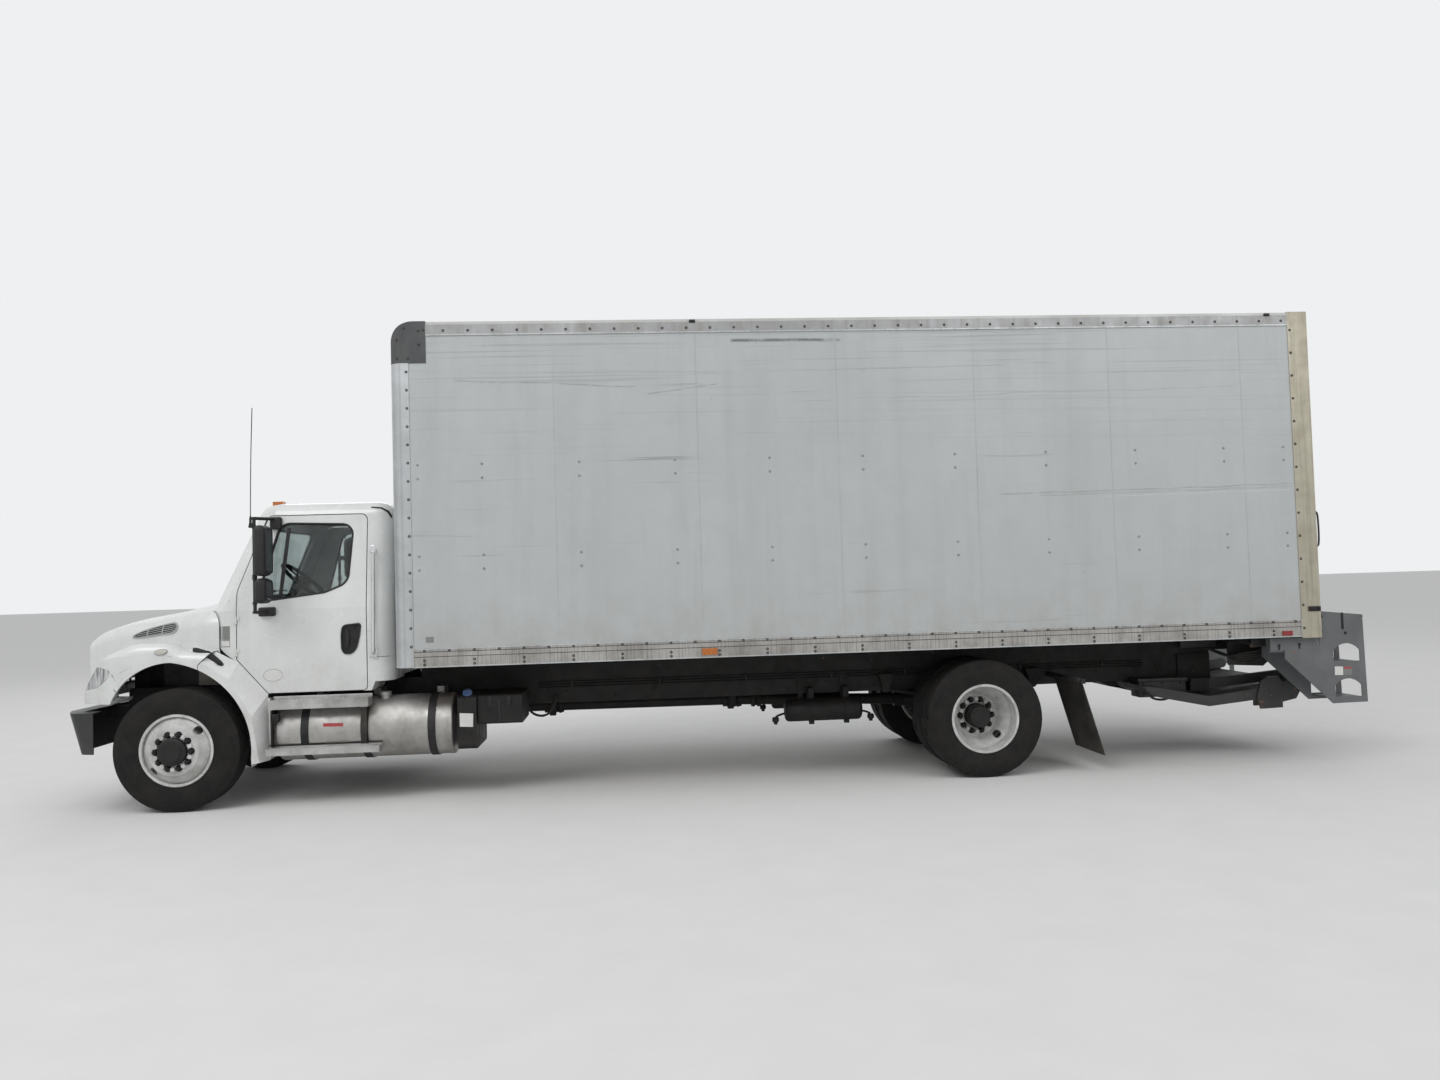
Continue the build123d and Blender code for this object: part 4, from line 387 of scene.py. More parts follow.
# Modelling helpers. X is a station, metres ahead of the front axle; outlines and plates take true places
axisTurn = {"X": (0, math.pi / 2, 0), "Y": (math.pi / 2, 0, 0), "Z": (0, 0, 0)}
axisWay = {"X": Vector((1, 0, 0)), "Y": Vector((0, 1, 0)), "Z": Vector((0, 0, 1))}
plateTurn = {"X": (math.pi / 2, 0, math.pi / 2), "Y": (math.pi / 2, 0, 0), "Z": (0, 0, 0)}
sides = (("left", 1), ("right", -1))


def spotAt(place):
    return Vector((frontX + place[0], place[1], place[2]))


# Selects one piece alone, or nothing, in object mode
def chosen(piece=None):
    if bpy.context.object and bpy.context.object.mode != "OBJECT":
        bpy.ops.object.mode_set(mode="OBJECT")
    bpy.ops.object.select_all(action="DESELECT")
    if piece:
        piece.select_set(True)
        bpy.context.view_layer.objects.active = piece
    return piece


def edit(action="SELECT"):
    bpy.ops.object.mode_set(mode="EDIT")
    bpy.ops.mesh.select_all(action=action)


def edited():
    bpy.ops.object.mode_set(mode="OBJECT")
    return bpy.context.object


# Moves the place, turn and size of the chosen piece into its mesh
def settle():
    bpy.ops.object.transform_apply(location=True, rotation=True, scale=True)


def tidyMesh():
    bpy.ops.mesh.select_all(action="SELECT")
    bpy.ops.mesh.remove_doubles(threshold=0.00002)
    bpy.ops.mesh.normals_make_consistent(inside=False)


# A ring or disc turned about an axis: profile rows are (radius, place along the axis)
def turned(profile, centre, axis="Y", sides=48, closed=False):
    chosen()
    way = axisWay[axis]
    centre = spotAt(centre)
    radius, along = profile[0]
    bpy.ops.mesh.primitive_circle_add(
        vertices=sides, radius=max(radius, 1e-4), location=centre + way * along, rotation=axisTurn[axis])
    edit()
    for nextRadius, nextAlong in profile[1:]:
        bpy.ops.mesh.extrude_region_move(TRANSFORM_OT_translate={"value": way * (nextAlong - along)})
        grow = max(nextRadius, 1e-4) / max(radius, 1e-4)
        size = [1 if way[i] else grow for i in range(3)]
        bpy.ops.transform.resize(value=size, center_override=centre + way * nextAlong)
        radius, along = nextRadius, nextAlong
    if closed:
        bpy.ops.mesh.select_all(action="DESELECT")
        bpy.ops.mesh.select_non_manifold()
        bpy.ops.mesh.bridge_edge_loops()
    tidyMesh()
    return edited()


def block(low, high, bevel=0.0, segments=2):
    chosen()
    low, high = spotAt(low), spotAt(high)
    bpy.ops.mesh.primitive_cube_add(size=1, location=(low + high) / 2, scale=[abs(c) for c in high - low])
    bpy.ops.object.transform_apply(location=False, rotation=False, scale=True)
    if bevel:
        edit()
        bpy.ops.mesh.bevel(offset=bevel, segments=segments, affect="EDGES")
        edited()
    return bpy.context.object


# A block about a station: half its length, then its ranges across and up
def about(ahead, half, y, z, bevel=0.004, segments=2):
    return block((ahead - half, y[0], z[0]), (ahead + half, y[1], z[1]), bevel, segments)


# A tube through a few points, bent smoothly when order is over 2
def tube(points, radius, order=2, sides=3):
    chosen()
    bpy.ops.curve.primitive_nurbs_path_add()
    path = bpy.context.object.data
    path.splines.clear()
    spline = path.splines.new("NURBS")
    spline.points.add(len(points) - 1)
    for point, spot in zip(spline.points, points):
        point.co = (*spotAt(spot), 1)
    spline.order_u = order
    spline.use_endpoint_u = True
    spline.resolution_u = 6 if order > 2 else 1
    path.bevel_depth = radius
    path.bevel_resolution = sides
    path.use_fill_caps = True
    bpy.ops.object.convert(target="MESH")
    return bpy.context.object


def joined(pieces):
    chosen()
    for piece in pieces:
        piece.select_set(True)
    bpy.context.view_layer.objects.active = pieces[0]
    if len(pieces) > 1:
        bpy.ops.object.join()
    return bpy.context.object


def copyOf(piece, shift=(0, 0, 0), mirrored=False):
    chosen(piece)
    bpy.ops.object.duplicate()
    copy = bpy.context.object
    if mirrored:
        edit()
        bpy.ops.transform.mirror(constraint_axis=(False, True, False), center_override=(0, 0, 0))
        bpy.ops.mesh.normals_make_consistent(inside=False)
        edited()
    copy.location = Vector(copy.location) + Vector(shift)
    settle()
    return copy


def applied(piece, kind, **values):
    chosen(piece)
    modifier = piece.modifiers.new("step", kind)
    for key, value in values.items():
        setattr(modifier, key, value)
    bpy.ops.object.modifier_apply(modifier="step")
    return piece


def repeated(piece, count, step):
    chosen(piece)
    settle()
    return applied(piece, "ARRAY", count=count, use_relative_offset=False, use_constant_offset=True,
                   constant_offset_displace=step)


def dropped(piece):
    bpy.data.objects.remove(piece, do_unlink=True)


# Where a straight line first meets a node's surface
def touch(node, start, way):
    hit, spot, _, _ = nodes[node].ray_cast(spotAt(start), Vector(way))
    return spot - spotAt((0, 0, 0)) if hit else None


# A finished piece, or a list that becomes one: its name, material, body and smoothing angle
def add(piece, name, finish, body="chassis", smooth=35):
    piece = chosen(joined(piece) if isinstance(piece, list) else piece)
    piece.name = piece.data.name = name
    settle()
    piece.data.materials.clear()
    piece.data.materials.append(materials[finish])
    bpy.ops.object.shade_smooth_by_angle(angle=math.radians(smooth))
    piece.select_set(False)
    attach(piece, body)
    return piece


# The same on both sides of the truck, each side on its own body
def addPair(piece, name, finish, bodies=("chassis", "chassis")):
    piece = joined(piece) if isinstance(piece, list) else piece
    other = copyOf(piece, mirrored=True)
    return (add(piece, name + "_left", finish, bodies[0]),
            add(other, name + "_right", finish, bodies[1]))

# Tyres: rows of the profile are (radius, distance from the tyre's middle)
tyreShape = {
    "halfWall": [(0.299, 0.104), (0.300, 0.1205), (0.309, 0.1265), (0.318, 0.1255), (0.331, 0.1315),
                 (0.352, 0.1365), (0.386, 0.1395), (0.395, 0.1403), (0.401, 0.1398), (0.425, 0.1385),
                 (0.447, 0.1352), (0.4505, 0.1368), (0.4545, 0.135), (0.472, 0.1285), (0.492, 0.1195),
                 (0.503, 0.1135)],
    "steerRibs": [(0.112, 0.078), (0.066, 0.032), (0.020, -0.020), (-0.032, -0.066), (-0.078, -0.112)],
    "driveRibs": [(0.112, 0.064), (0.056, 0.004), (-0.004, -0.056), (-0.064, -0.112)],
    "radius": 0.507, "grooveDepth": 0.014, "crown": 0.0015, "shoulder": 0.075, "sides": 144,
    "frontMiddle": 1.035, "rearMiddles": (0.75, 1.092),
}


def tyreProfile(ribs):
    wall, top = tyreShape["halfWall"], tyreShape["radius"]
    floor = top - tyreShape["grooveDepth"]
    drop = tyreShape["crown"] / ribs[0][0]
    rows = list(wall)
    for number, (outer, inner) in enumerate(ribs):
        if number:
            rows.append((floor, outer + 0.001))
        rows += [(top - drop * abs(outer), outer), (top - drop * abs(inner), inner)]
        if number < len(ribs) - 1:
            rows.append((floor, inner - 0.001))
    return rows + [(r, -y) for r, y in reversed(wall)]


# Drive tyres get a lug from every second pair of facets, steer tyres small cuts along their shoulders
def makeTyre(centre, ribs, lugged):
    count = tyreShape["sides"]
    tyre = turned(tyreProfile(ribs), centre, sides=count, closed=True)
    bpy.ops.object.mode_set(mode="EDIT")
    work = bmesh.from_edit_mesh(tyre.data)
    for face in work.faces:
        middle = face.calc_center_median()
        number = int((math.atan2(middle.z, middle.x) % (2 * math.pi)) / (2 * math.pi / count))
        onTread = math.hypot(middle.x, middle.z) > tyreShape["radius"] - 0.004
        if lugged:
            cut = number % 4 == (0 if middle.y > 0 else 2)
        else:
            cut = number % 3 == 0 and abs(middle.y) > tyreShape["shoulder"]
        face.select = onTread and cut
    bmesh.update_edit_mesh(tyre.data)
    bpy.ops.mesh.inset(thickness=0.0016 if lugged else 0.0042, depth=-0.011 if lugged else -0.004)
    return edited()


for sideName, side in sides:
    steer = makeTyre((0, side * tyreShape["frontMiddle"], axleZ), tyreShape["steerRibs"], False)
    steer = add(steer, "tyreFront_" + sideName, "tyreRubber", "front_wheel_" + sideName, 28)
    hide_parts("tyre_front_" + sideName)
    pair = [makeTyre((rearAt, side * y, axleZ), tyreShape["driveRibs"], True)
            for y in tyreShape["rearMiddles"]]
    pair = add(pair, "tyresRear_" + sideName, "tyreRubber", "rear_wheels_" + sideName, 28)
    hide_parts("tyres_rear_" + sideName)
print("tyres ready")

# Wheel nuts and hub covers, dark against the white discs: rows are (radius, distance from the middle)
hubLook = {
    "studCircle": 0.1429, "nutCount": 10, "nutRadius": 0.0205,
    "frontNut": (1.2055, 1.2345), "rearNut": (0.936, 0.9735),
    "washer": [(0.0001, 0), (0.0275, 0), (0.0275, 0.003), (0.0262, 0.0042), (0.0212, 0.0046)],
    "frontHub": [(0.1140, 1.2052), (0.1140, 1.2445), (0.1095, 1.2495), (0.1000, 1.2560), (0.0790, 1.2560),
                 (0.0770, 1.2600), (0.0560, 1.2600), (0.0545, 1.2575), (0.0400, 1.2575), (0.0001, 1.2575)],
    "rearHub": [(0.1066, 0.9352), (0.1066, 1.0195), (0.1020, 1.0225), (0.0936, 1.0320), (0.0936, 1.0640),
                (0.0860, 1.0730), (0.0860, 1.0760), (0.0640, 1.0760), (0.0625, 1.0790), (0.0001, 1.0790)],
}


def nutRing(axleAt, baseY, topY, side):
    height, radius = topY - baseY, hubLook["nutRadius"]
    spot = (axleAt + hubLook["studCircle"], side * baseY, axleZ)
    washer = turned(hubLook["washer"], spot, sides=18)
    rows = [(radius, 0), (radius, height - 0.003), (radius - 0.003, height), (0.0118, height),
            (0.0112, height + 0.008), (0.0001, height + 0.009)]
    first = joined([turned([(r, side * y) for r, y in rows], spot, sides=6), washer])
    centre = Matrix.Translation((frontX + axleAt, 0, axleZ))
    ring = [first]
    for number in range(1, hubLook["nutCount"]):
        chosen(first)
        bpy.ops.object.duplicate()
        other = bpy.context.object
        turn = Matrix.Rotation(math.radians(360 / hubLook["nutCount"] * number), 4, "Y")
        other.matrix_world = centre @ turn @ centre.inverted() @ other.matrix_world
        ring.append(other)
    return joined(ring)


for sideName, side in sides:
    for hub, nut, axleAt, name, body in (("frontHub", "frontNut", 0, "hubFront_", "front_wheel_"),
                                         ("rearHub", "rearNut", rearAt, "hubRear_", "rear_wheels_")):
        cover = turned([(r, side * y) for r, y in hubLook[hub]], (axleAt, 0, axleZ), sides=56)
        nuts = nutRing(axleAt, *hubLook[nut], side)
        add([cover, nuts], name + sideName, "chassisPaint", body + sideName)
print("hubs and nuts ready")


# More helpers: outlines with rounded corners, flat plates, and pieces laid on a curved surface
def rounded(points, radius, steps=4):
    corners = []
    count = len(points)
    for number in range(count):
        before, here, after = (Vector(points[(number + k) % count]) for k in (-1, 0, 1))
        inWay, outWay = (before - here), (after - here)
        reach = min(radius, inWay.length * 0.45, outWay.length * 0.45)
        start, end = here + inWay.normalized() * reach, here + outWay.normalized() * reach
        for step in range(steps + 1):
            t = step / steps
            corners.append(start * (1 - t) ** 2 + here * 2 * t * (1 - t) + end * t ** 2)
    return corners


def oval(centre, halfWide, halfTall, turn=0.0, sides=28):
    spin = Matrix.Rotation(math.radians(turn), 2)
    angles = [2 * math.pi * k / sides for k in range(sides)]
    return [Vector(centre) + spin @ Vector((halfWide * math.cos(a), halfTall * math.sin(a))) for a in angles]


# The same outline drawn in along its length and across it, about its own middle
def shrunk(points, alongShare, acrossShare, slope):
    spots = [Vector(p) for p in points]
    middle = Vector([(min(p[k] for p in spots) + max(p[k] for p in spots)) / 2 for k in (0, 1)])
    result = []
    for spot in spots:
        away = spot - middle
        across = away.y - slope * away.x
        along = away.x * alongShare
        result.append(middle + Vector((along, slope * along + across * acrossShare)))
    return result


# The same outline drawn in by one distance all round
def inset(points, amount):
    spots = [Vector(p) for p in points]
    area = sum(a.x * b.y - b.x * a.y for a, b in zip(spots, spots[1:] + spots[:1]))
    turn = 1 if area > 0 else -1
    result = []
    for number, spot in enumerate(spots):
        along = (spots[(number + 1) % len(spots)] - spots[number - 1]).normalized()
        result.append(spot + Vector((-along.y, along.x)) * amount * turn)
    return result


# Flat plate of one or more outlines; an outline inside another one is a hole in it
def plate(outlines, facing, along, thickness, bevel=0.0):
    chosen()
    bpy.ops.curve.primitive_nurbs_path_add()
    path = bpy.context.object.data
    path.splines.clear()
    path.dimensions = "2D"
    path.fill_mode = "BOTH"
    for outline in outlines:
        spline = path.splines.new("POLY")
        spline.points.add(len(outline) - 1)
        for point, spot in zip(spline.points, outline):
            point.co = (spot[0], spot[1], 0, 1)
        spline.use_cyclic_u = True
    path.extrude = thickness / 2 - bevel
    path.bevel_depth = bevel
    path.bevel_resolution = 1
    bpy.ops.object.convert(target="MESH")
    sheet = bpy.context.object
    sheet.rotation_euler = plateTurn[facing]
    sheet.location = axisWay[facing] * along
    settle()
    bpy.ops.object.mode_set(mode="EDIT")
    tidyMesh()
    return edited()


# What a piece and a cutter share; the second solver runs where the first leaves nothing or open edges
def cutTo(piece, cutter):
    for solver in ("FAST", "EXACT"):
        trial = applied(copyOf(piece), "BOOLEAN", object=cutter, operation="INTERSECT", solver=solver)
        work = bmesh.new()
        work.from_mesh(trial.data)
        whole = len(work.faces) > 3 and all(len(edge.link_faces) == 2 for edge in work.edges)
        work.free()
        if whole or solver == "EXACT":
            dropped(piece)
            return trial
        dropped(trial)


# A sheet on the left side of a node: a grid thrown on the surface, thickened, cut to the outlines
def laidOn(node, outlines, thickness, lift=0.0, cell=0.02):
    chosen()
    startY, margin = 1.5, 0.03
    spots = [spot for points in outlines for spot in points]
    low = Vector([min(p[k] for p in spots) - margin for k in (0, 1)])
    high = Vector([max(p[k] for p in spots) + margin for k in (0, 1)])
    wide, tall = high - low
    bpy.ops.mesh.primitive_grid_add(
        x_subdivisions=max(3, int(wide / cell)), y_subdivisions=max(3, int(tall / cell)), size=1,
        location=((low.x + high.x) / 2, startY, (low.y + high.y) / 2), rotation=(math.pi / 2, 0, 0))
    sheet = bpy.context.object
    sheet.scale = (wide, tall, 1)
    settle()
    applied(sheet, "SHRINKWRAP", target=nodes[node], wrap_method="PROJECT", use_project_y=True,
            use_project_x=False, use_project_z=False, use_positive_direction=False,
            use_negative_direction=True, wrap_mode="ON_SURFACE", offset=0.0)
    bpy.ops.object.mode_set(mode="EDIT")
    work = bmesh.from_edit_mesh(sheet.data)
    for spot in work.verts:  # what the grid missed is still at its start
        spot.select_set(abs(spot.co.y) > startY - 0.05)
    work.select_flush_mode()
    bmesh.update_edit_mesh(sheet.data)
    bpy.ops.mesh.delete(type="VERT")
    bpy.ops.mesh.select_all(action="SELECT")
    bpy.ops.transform.translate(value=(0, lift + thickness / 2, 0))
    edited()
    applied(sheet, "SOLIDIFY", thickness=thickness, offset=0.0)
    cutter = plate(outlines, "Y", 1.0, 1.4)
    sheet = cutTo(sheet, cutter)
    dropped(cutter)
    return sheet


# A bead along the border of the faces of a node that look one way, kept inside a box
def bordered(node, way, least, low, high, radius):
    low, high = spotAt(low), spotAt(high)
    chosen(nodes[node])
    bpy.ops.object.duplicate()
    bead = bpy.context.object
    bead.name = "bead"
    bead.data = bead.data.copy()
    edit()
    bpy.ops.mesh.remove_doubles(threshold=0.0001)
    bpy.ops.mesh.select_mode(type="FACE")
    work = bmesh.from_edit_mesh(bead.data)
    for face in work.faces:
        face.select_set(face.normal.dot(Vector(way)) > least)
    bmesh.update_edit_mesh(bead.data)
    bpy.ops.mesh.select_all(action="INVERT")
    bpy.ops.mesh.delete(type="FACE")
    bpy.ops.mesh.select_mode(type="EDGE")
    work = bmesh.from_edit_mesh(bead.data)
    for edge in work.edges:
        inside = all(low[k] <= v.co[k] <= high[k] for v in edge.verts for k in range(3))
        edge.select_set(len(edge.link_faces) == 1 and inside)
    bmesh.update_edit_mesh(bead.data)
    bpy.ops.mesh.select_all(action="INVERT")
    bpy.ops.mesh.delete(type="EDGE")
    bpy.ops.mesh.select_all(action="SELECT")
    bpy.ops.mesh.delete(type="ONLY_FACE")
    edited()
    bead.modifiers.clear()
    bead.parent = None
    bpy.ops.object.convert(target="CURVE")
    bead = bpy.context.object
    bead.data.bevel_depth = radius
    bead.data.bevel_resolution = 2
    bead.data.use_fill_caps = True
    bpy.ops.object.convert(target="MESH")
    return bpy.context.object


# An outline given in stations and heights, brought to its place
def placed(points):
    return [(frontX + ahead, height) for ahead, height in points]


def dome(centre, radius, height, axis="Y", side=1, sides=8):
    rows = [(radius, 0), (radius * 0.86, side * height * 0.62), (radius * 0.4, side * height)]
    piece = turned(rows, centre, axis=axis, sides=sides)
    edit("DESELECT")
    bpy.ops.mesh.select_non_manifold()
    bpy.ops.mesh.fill()
    bpy.ops.mesh.normals_make_consistent(inside=False)
    edited()
    return piece


hoodBoth = ("hood", "hood")
doorBoth = ("left_door", "right_door")

# Hood: vents in the sides, marker lamps on the fenders, rubber latches to the cab
hoodTrim = {
    "vent": [(0.507, 1.430), (0.470, 1.463), (0.380, 1.499), (0.250, 1.533), (0.130, 1.558), (0.086, 1.553),
             (0.068, 1.522), (0.082, 1.484), (0.116, 1.459), (0.300, 1.441), (0.440, 1.424)],
    "ventInside": (0.94, 0.76, -0.2), "ventCell": 0.016,
    "slatCount": 9, "slatFoot": 1.372, "slatPitch": 0.0155, "slatWidth": 0.0055, "slatSlope": 0.16,
    "slatSpan": (0.52, 0.06), "dividers": [(0.372, 0.362), (0.236, 0.226)],
    "marker": (0.105, 1.321),
    "latch": [(-0.136, 1.318), (-0.148, 1.344), (-0.232, 1.316), (-0.262, 1.309), (-0.352, 1.226),
              (-0.372, 1.196), (-0.352, 1.189), (-0.246, 1.266), (-0.220, 1.286)],
}
cell, width = hoodTrim["ventCell"], hoodTrim["slatWidth"]
ventOuter = rounded(placed(hoodTrim["vent"]), 0.03, 2)
ventInner = shrunk(ventOuter, *hoodTrim["ventInside"])
rim = laidOn("hood", [ventOuter, ventInner], 0.007, 0.0, cell)
addPair(rim, "ventRim", "ventGrey", hoodBoth)
# A near-black sheet inside each vent opening: painted shade of the hollow behind the slats
ventShadeSheet = laidOn("hood", [ventInner], 0.001, 0.0, cell)
addPair(ventShadeSheet, "ventPaintedShade", "blackAndPaintedShade", hoodBoth)
fore, aft = hoodTrim["slatSpan"]
rise = (fore - aft) * hoodTrim["slatSlope"]
feet = [hoodTrim["slatFoot"] + number * hoodTrim["slatPitch"] for number in range(hoodTrim["slatCount"])]
slats = [placed([(fore, z), (aft, z + rise), (aft, z + rise + width), (fore, z + width)]) for z in feet]
posts = [placed([(a, 1.40), (a - 0.025, 1.57), (b - 0.025, 1.57), (b, 1.40)])
         for a, b in hoodTrim["dividers"]]
cutter = plate([ventInner], "Y", 1.0, 1.4)
bars = [cutTo(laidOn("hood", slats, 0.004, 0.001, cell), cutter),
        cutTo(laidOn("hood", posts, 0.006, 0.001, cell), cutter)]
dropped(cutter)
addPair(bars, "ventSlats", "ventGrey", hoodBoth)

markerAt = placed([hoodTrim["marker"]])[0]
base = laidOn("hood", [oval(markerAt, 0.054, 0.026, -6)], 0.006)
addPair(base, "markerBase", "ventGrey", hoodBoth)
glow = laidOn("hood", [oval(markerAt, 0.045, 0.019, -6)], 0.012, 0.002)
addPair(glow, "markerLens", "markerClear", hoodBoth)

upper = touch("hood", (-0.16, 1.5, 1.325), (0, -1, 0))
lower = touch("quarter_fenders", (-0.33, 1.5, 1.225), (0, -1, 0))
latchY = (max(upper.y, lower.y) if upper and lower else 1.165) + 0.011
addPair([plate([rounded(placed(hoodTrim["latch"]), 0.012, 2)], "Y", latchY, 0.022, 0.004),
         plate([oval(placed([(-0.335, 1.222)])[0], 0.024, 0.015, 42, 16)], "Y", latchY + 0.012, 0.02, 0.004),
         block((-0.150, latchY - 0.03, 1.312), (-0.128, latchY + 0.006, 1.345), 0.004)],
        "hoodLatch", "trimPlastic")
print("hood trim ready")

# Door handles, blank labels, division bars, gaskets
cabTrim = {
    "handle": [(-1.347, 1.496), (-1.468, 1.507), (-1.483, 1.490), (-1.470, 1.385), (-1.444, 1.286),
               (-1.400, 1.243), (-1.340, 1.246), (-1.316, 1.285), (-1.312, 1.405), (-1.322, 1.475)],
    "paddle": [(-1.352, 1.455), (-1.378, 1.460), (-1.385, 1.380), (-1.378, 1.300), (-1.352, 1.296)],
    "divider": [(-0.886, 2.352), (-0.857, 2.354), (-0.796, 1.722), (-0.825, 1.725)],
    "window": ((-1.45, 0.5, 1.66), (-0.575, 1.2, 2.41)),
    "doorLabel": (-0.752, 1.090),
}
handleRing = rounded(placed(cabTrim["handle"]), 0.03, 3)
bezel = laidOn("door_left", [handleRing, inset(handleRing, 0.012)], 0.010)
cup = laidOn("door_left", [inset(handleRing, 0.009)], 0.0015)
addPair(bezel, "handleBezel", "trimPlastic", doorBoth)
addPair(cup, "handleCup", "blackAndPaintedShade", doorBoth)
paddle = laidOn("door_left", [rounded(placed(cabTrim["paddle"]), 0.012, 2)], 0.011, 0.003, 0.03)
lock = turned([(0.0001, 0.016), (0.008, 0.016), (0.010, 0.013), (0.010, 0.0)], (-1.425, 1.061, 1.475),
              sides=14)
addPair([paddle, lock], "handlePaddle", "trimPlastic", doorBoth)


# A rectangle as an outline, from its fore upper to its aft lower corner
def patch(fore, top, aft, low):
    return placed([(fore, top), (aft, top), (aft, low), (fore, low)])


label = laidOn("cab_shell", [patch(-0.297, 1.513, -0.406, 1.398)], 0.0008)
add(label, "patchGrey", "greyLabel")
label = laidOn("cab_shell", [patch(-0.312, 1.392, -0.404, 1.342)], 0.0008)
add(label, "patchPale", "blankLabel")
line = laidOn("cab_shell", [patch(-0.309, 1.396, -0.406, 1.338), patch(-0.314, 1.389, -0.401, 1.345)], 0.001)
add(line, "patchLine", "greyLabel")
middle = placed([cabTrim["doorLabel"]])[0]
disc = laidOn("door_left", [oval(middle, 0.078, 0.05)], 0.0006)
ring = [oval(middle, wide, tall, sides=40) for wide, tall in ((0.079, 0.051), (0.076, 0.048))]
ring = laidOn("door_left", ring, 0.0009)
add(disc, "doorLabel", "blankLabel", "left_door")
add(ring, "doorLabelRing", "greyLabel", "left_door")

divider = laidOn("door_glass_left", [placed(cabTrim["divider"])], 0.012, -0.004, 0.05)
addPair(divider, "windowDivider", "trimPlastic", doorBoth)
for node, radius, name in (("door_left", 0.0085, "windowGasket"), ("door_glass_left", 0.010, "windowRun")):
    gasket = bordered(node, (0, 1, 0), 0.6, *cabTrim["window"], radius)
    addPair(gasket, name, "trimPlastic", doorBoth)
gasket = bordered("cab_glass", (1, 0, 0), 0.3, (-0.9, -1.1, 1.5), (0.1, 1.1, 2.6), 0.013)
add(gasket, "windscreenGasket", "trimPlastic")
gasket = bordered("cab_glass", (-1, 0, 0), 0.7, (-1.9, -0.8, 1.6), (-1.5, 0.8, 2.5), 0.012)
add(gasket, "rearGasket", "trimPlastic")
print("cab trim ready")

# Box: seams, rivets, strips, lamps and fittings. A row is its first station and height, count and steps
boxTrim = {
    "panelY": 1.292, "railY": 1.298, "rails": (-9.655, -1.963),
    "seamFrom": -3.157, "seamPitch": 1.2086, "seamCount": 6, "seamWidth": 0.008,
    "columnFrom": -2.551, "columnPitch": 0.8078, "columnCount": 9, "oddColumns": (-2.022, -9.565),
    "columnHeights": (1.932, 2.047, 2.692, 2.808),
    "panelRivet": (0.012, 0.005), "railRivet": (0.0125, 0.006),
    "railRows": [(-2.05, 3.935, 38, -0.204, 0), (-2.05, 1.262, 38, -0.204, 0), (-2.05, 1.183, 19, -0.408, 0),
                 (-2.05, 1.149, 19, -0.408, 0), (-1.945, 1.30, 16, 0, 0.1526), (-9.676, 1.20, 14, 0, 0.204)],
    "capRivets": [(-1.872, 3.705), (-1.962, 3.705), (-2.052, 3.82), (-2.09, 3.94), (-1.872, 3.86),
                  (-1.93, 3.96)],
    "grooves": (1.213, 1.2535),
}


def rivets(rows, y):
    heads = []
    size = boxTrim["panelRivet"] if y == boxTrim["panelY"] else boxTrim["railRivet"]
    for ahead, height, count, stepAhead, stepUp in rows:
        head = dome((ahead, y, height), *size)
        heads.append(repeated(head, count, (stepAhead, 0, stepUp)) if count > 1 else head)
    return heads


panelY, railY = boxTrim["panelY"], boxTrim["railY"]
seamAt = [boxTrim["seamFrom"] - number * boxTrim["seamPitch"] for number in range(boxTrim["seamCount"])]
seams = [about(x, boxTrim["seamWidth"] / 2, (panelY - 0.001, panelY + 0.0014), (1.281, 3.893), 0.0005, 1)
         for x in seamAt]
addPair(seams, "panelSeams", "panelSeam")
rows = []
for height in boxTrim["columnHeights"]:
    rows.append((boxTrim["columnFrom"], height, boxTrim["columnCount"], -boxTrim["columnPitch"], 0))
    rows += [(odd, height, 1, 0, 0) for odd in boxTrim["oddColumns"]]
addPair(rivets(rows, panelY), "panelRivets", "panelBolt")
# Rail rivet heads in near black: each bolt with painted shade round it
heads = rivets(boxTrim["railRows"], railY)
for ahead, height in boxTrim["capRivets"]:
    spot = touch("corner_caps", (ahead, 1.6, height), (0, -1, 0))
    if spot:
        heads.append(dome(spot, *boxTrim["railRivet"]))
addPair(heads, "railRivets", "darkBoltAndPaintedShade")

aft, fore = boxTrim["rails"]
# Near-black strips along the two rail grooves: painted shade in the grooves
strips = [block((aft, railY - 0.001, z - 0.0022), (fore, railY + 0.0012, z + 0.0022), 0.0004, 1)
          for z in boxTrim["grooves"]]
addPair(strips, "railGroovePaintedShade", "blackAndPaintedShade")
addPair([block((aft, railY - 0.002, 3.892), (-2.107, railY + 0.0026, 3.905), 0.0012, 1),
         block((aft, railY - 0.002, 1.272), (fore, railY + 0.0022, 1.281), 0.001, 1),
         block((aft, railY - 0.004, 1.124), (fore, railY + 0.0026, 1.134), 0.0015, 1)],
        "railLips", "postMetal")

lamps = []
for ahead in (-4.345, -9.467):
    lamps += [about(ahead, 0.026, (railY - 0.004, railY + 0.009), (3.978, 4.003)),
              about(ahead, 0.018, (railY + 0.002, railY + 0.013), (3.983, 3.998))]
addPair(lamps, "topMarkers", "trimPlastic")
bumper = [block((-9.832, railY - 0.003, 1.345), (-9.722, railY + 0.012, 1.389), 0.004)]
bumper += [dome((a, railY + 0.012, 1.367), 0.009, 0.006) for a in (-9.742, -9.812)]
addPair(bumper, "postBumper", "flapRubber")
loop = [tube([(-9.834, 1.25, 1.915), (-9.866, 1.25, 1.915), (-9.885, 1.25, 1.945), (-9.885, 1.25, 2.2),
              (-9.866, 1.25, 2.231), (-9.834, 1.25, 2.231)], 0.0085, 3)]
loop += [block((-9.84, 1.228, z - 0.022), (-9.833, 1.272, z + 0.022), 0.003) for z in (1.915, 2.231)]
addPair(loop, "rearGrab", "gatePaint")
label = block((-2.128, panelY - 0.0008, 1.33), (-2.062, panelY + 0.0009, 1.378), 0.0004, 1)
add(label, "boxLabel", "greyLabel")
